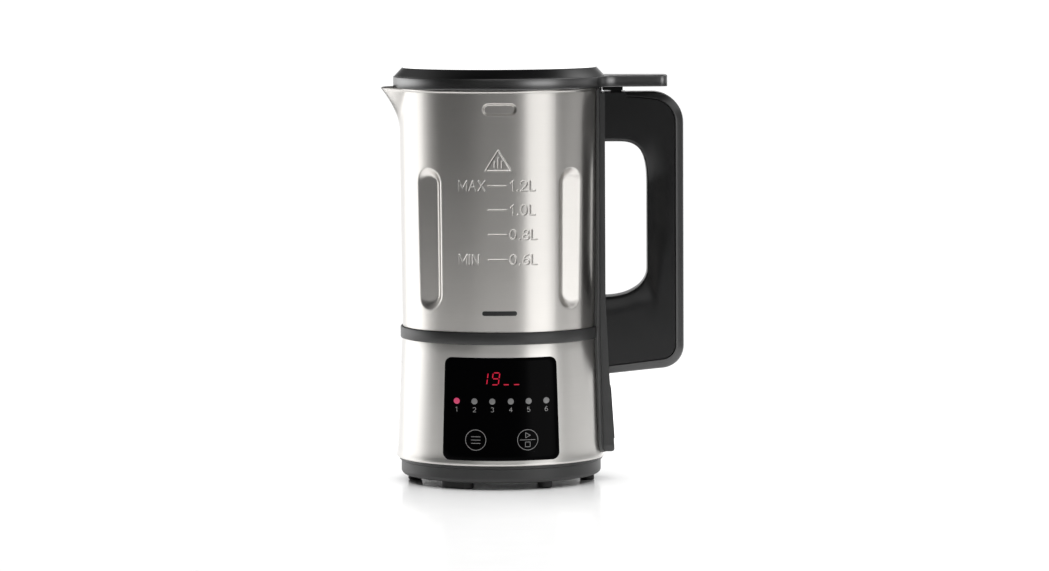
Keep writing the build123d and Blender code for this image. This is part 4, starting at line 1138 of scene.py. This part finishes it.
# --- lid ---
def lid_plan():
    """Plan of the rim with its tab: a hollow curve, a side that tapers, and a rounded end."""
    taper = math.radians(TAB_TAPER)
    normal = np.array((math.sin(taper), math.cos(taper)))
    side_offset = TAB_START_X * normal[0] + TAB_START_HALF * normal[1]
    turn = math.asin((TAB_NECK_R + side_offset) / (LID_R + TAB_NECK_R)) - taper
    neck = (LID_R + TAB_NECK_R) * np.array((math.cos(turn), math.sin(turn)))
    end_x = TAB_END - TAB_CORNER
    end_y = (side_offset - TAB_CORNER - end_x * normal[0]) / normal[1]
    half = arc(end_x, end_y, TAB_CORNER, TAB_CORNER, 0, 90 - TAB_TAPER)
    half += arc(*neck, TAB_NECK_R, TAB_NECK_R, 270 - TAB_TAPER, 180 + math.degrees(turn), 14)
    half += arc(0, 0, LID_R, LID_R, math.degrees(turn), 180, 96)[1:-1]
    return subdivided([(TAB_END, 0.0)] + half + [(-LID_R, 0.0)] + [(x, -y) for x, y in half[::-1]], 3.0)


def lid_rim():
    """The lid's hollow rim and tab, with softened edges."""
    plan = np.array(lid_plan())
    side = sideways(plan)
    low, top = LID_RIM_LOW, LID_RIM_TOP
    # (distance in from the plan, height)
    insets = ((0.5, low), (0.15, low + 0.12), (0.0, low + 0.45),
              (0.0, top - 0.75), (0.12, top - 0.35), (0.38, top - 0.1), (0.75, top))
    loops = [level(*(plan * share).T, low) for share in (0.02, 0.5, 0.9)]
    loops += [level(*(plan + side * inset).T, height) for inset, height in insets]
    loops += [level(*(plan * share).T, top) for share in (0.97, 0.9, 0.5, 0.02)]
    rim = make_mesh("lid_rim", np.vstack(loops), tube_faces(len(loops), len(plan)), MATERIALS["lid_black"])
    hollow = prism("lid_hollow", disc(0, 0, LID_R - LID_WALL, 96), level, low - 3, top - 1.2)
    far = TAB_END - TAB_HOLLOW_WALL
    tab = [(TAB_HOLLOW_X, -11), (far, -8), (far, 8), (TAB_HOLLOW_X, 11)]
    cut(rim, hollow, prism("tab_hollow", tab, level, low - 3, top - 2.5))
    finished(rim, "lid_black", "lid_cover", body="lid")


def lid_crown():
    """The lid's crown, with a sloped edge, a polished flat top and vent slots."""
    top, rim_top, edge_r, flat_r = LID_TOP, LID_RIM_TOP, LID_R - 0.75, LID_FLAT_R
    outline = [(0.5, rim_top - 0.5), (edge_r, rim_top - 0.5),
               (edge_r, rim_top + 0.05), (edge_r - 0.25, rim_top + 0.35),
               (flat_r + 0.8, top - 0.5), (flat_r + 0.4, top - 0.2), (flat_r - 0.1, top - 0.04),
               (flat_r - 0.8, top), (30, top), (0.5, top)]
    crown = lathe("lid_crown", outline, LID_TOP_BLACK)
    slots = []
    for index in range(VENT_COUNT):
        middle = (index - (VENT_COUNT - 1) / 2) * VENT_PITCH
        slot = rounded(rectangle(VENT_IN, VENT_OUT, middle - VENT_HALF, middle + VENT_HALF), VENT_CORNER, 4)
        slots.append(prism(f"vent_{index}", slot, level, rim_top + 0.5, top + 2))
    cut(crown, *slots, sharp=30)
    finished(crown, "lid_black", "lid_cover", body="lid")


bpy.context.scene.view_settings.view_transform = "Standard"
add_camera()
add_world()
add_lights(add_floor())
jug_vessel()
name_bar()
base_skirt()
decor_band()
touch_panel()
rail_flange()
handle_grip()
handle_spine()
lid_rim()
lid_crown()
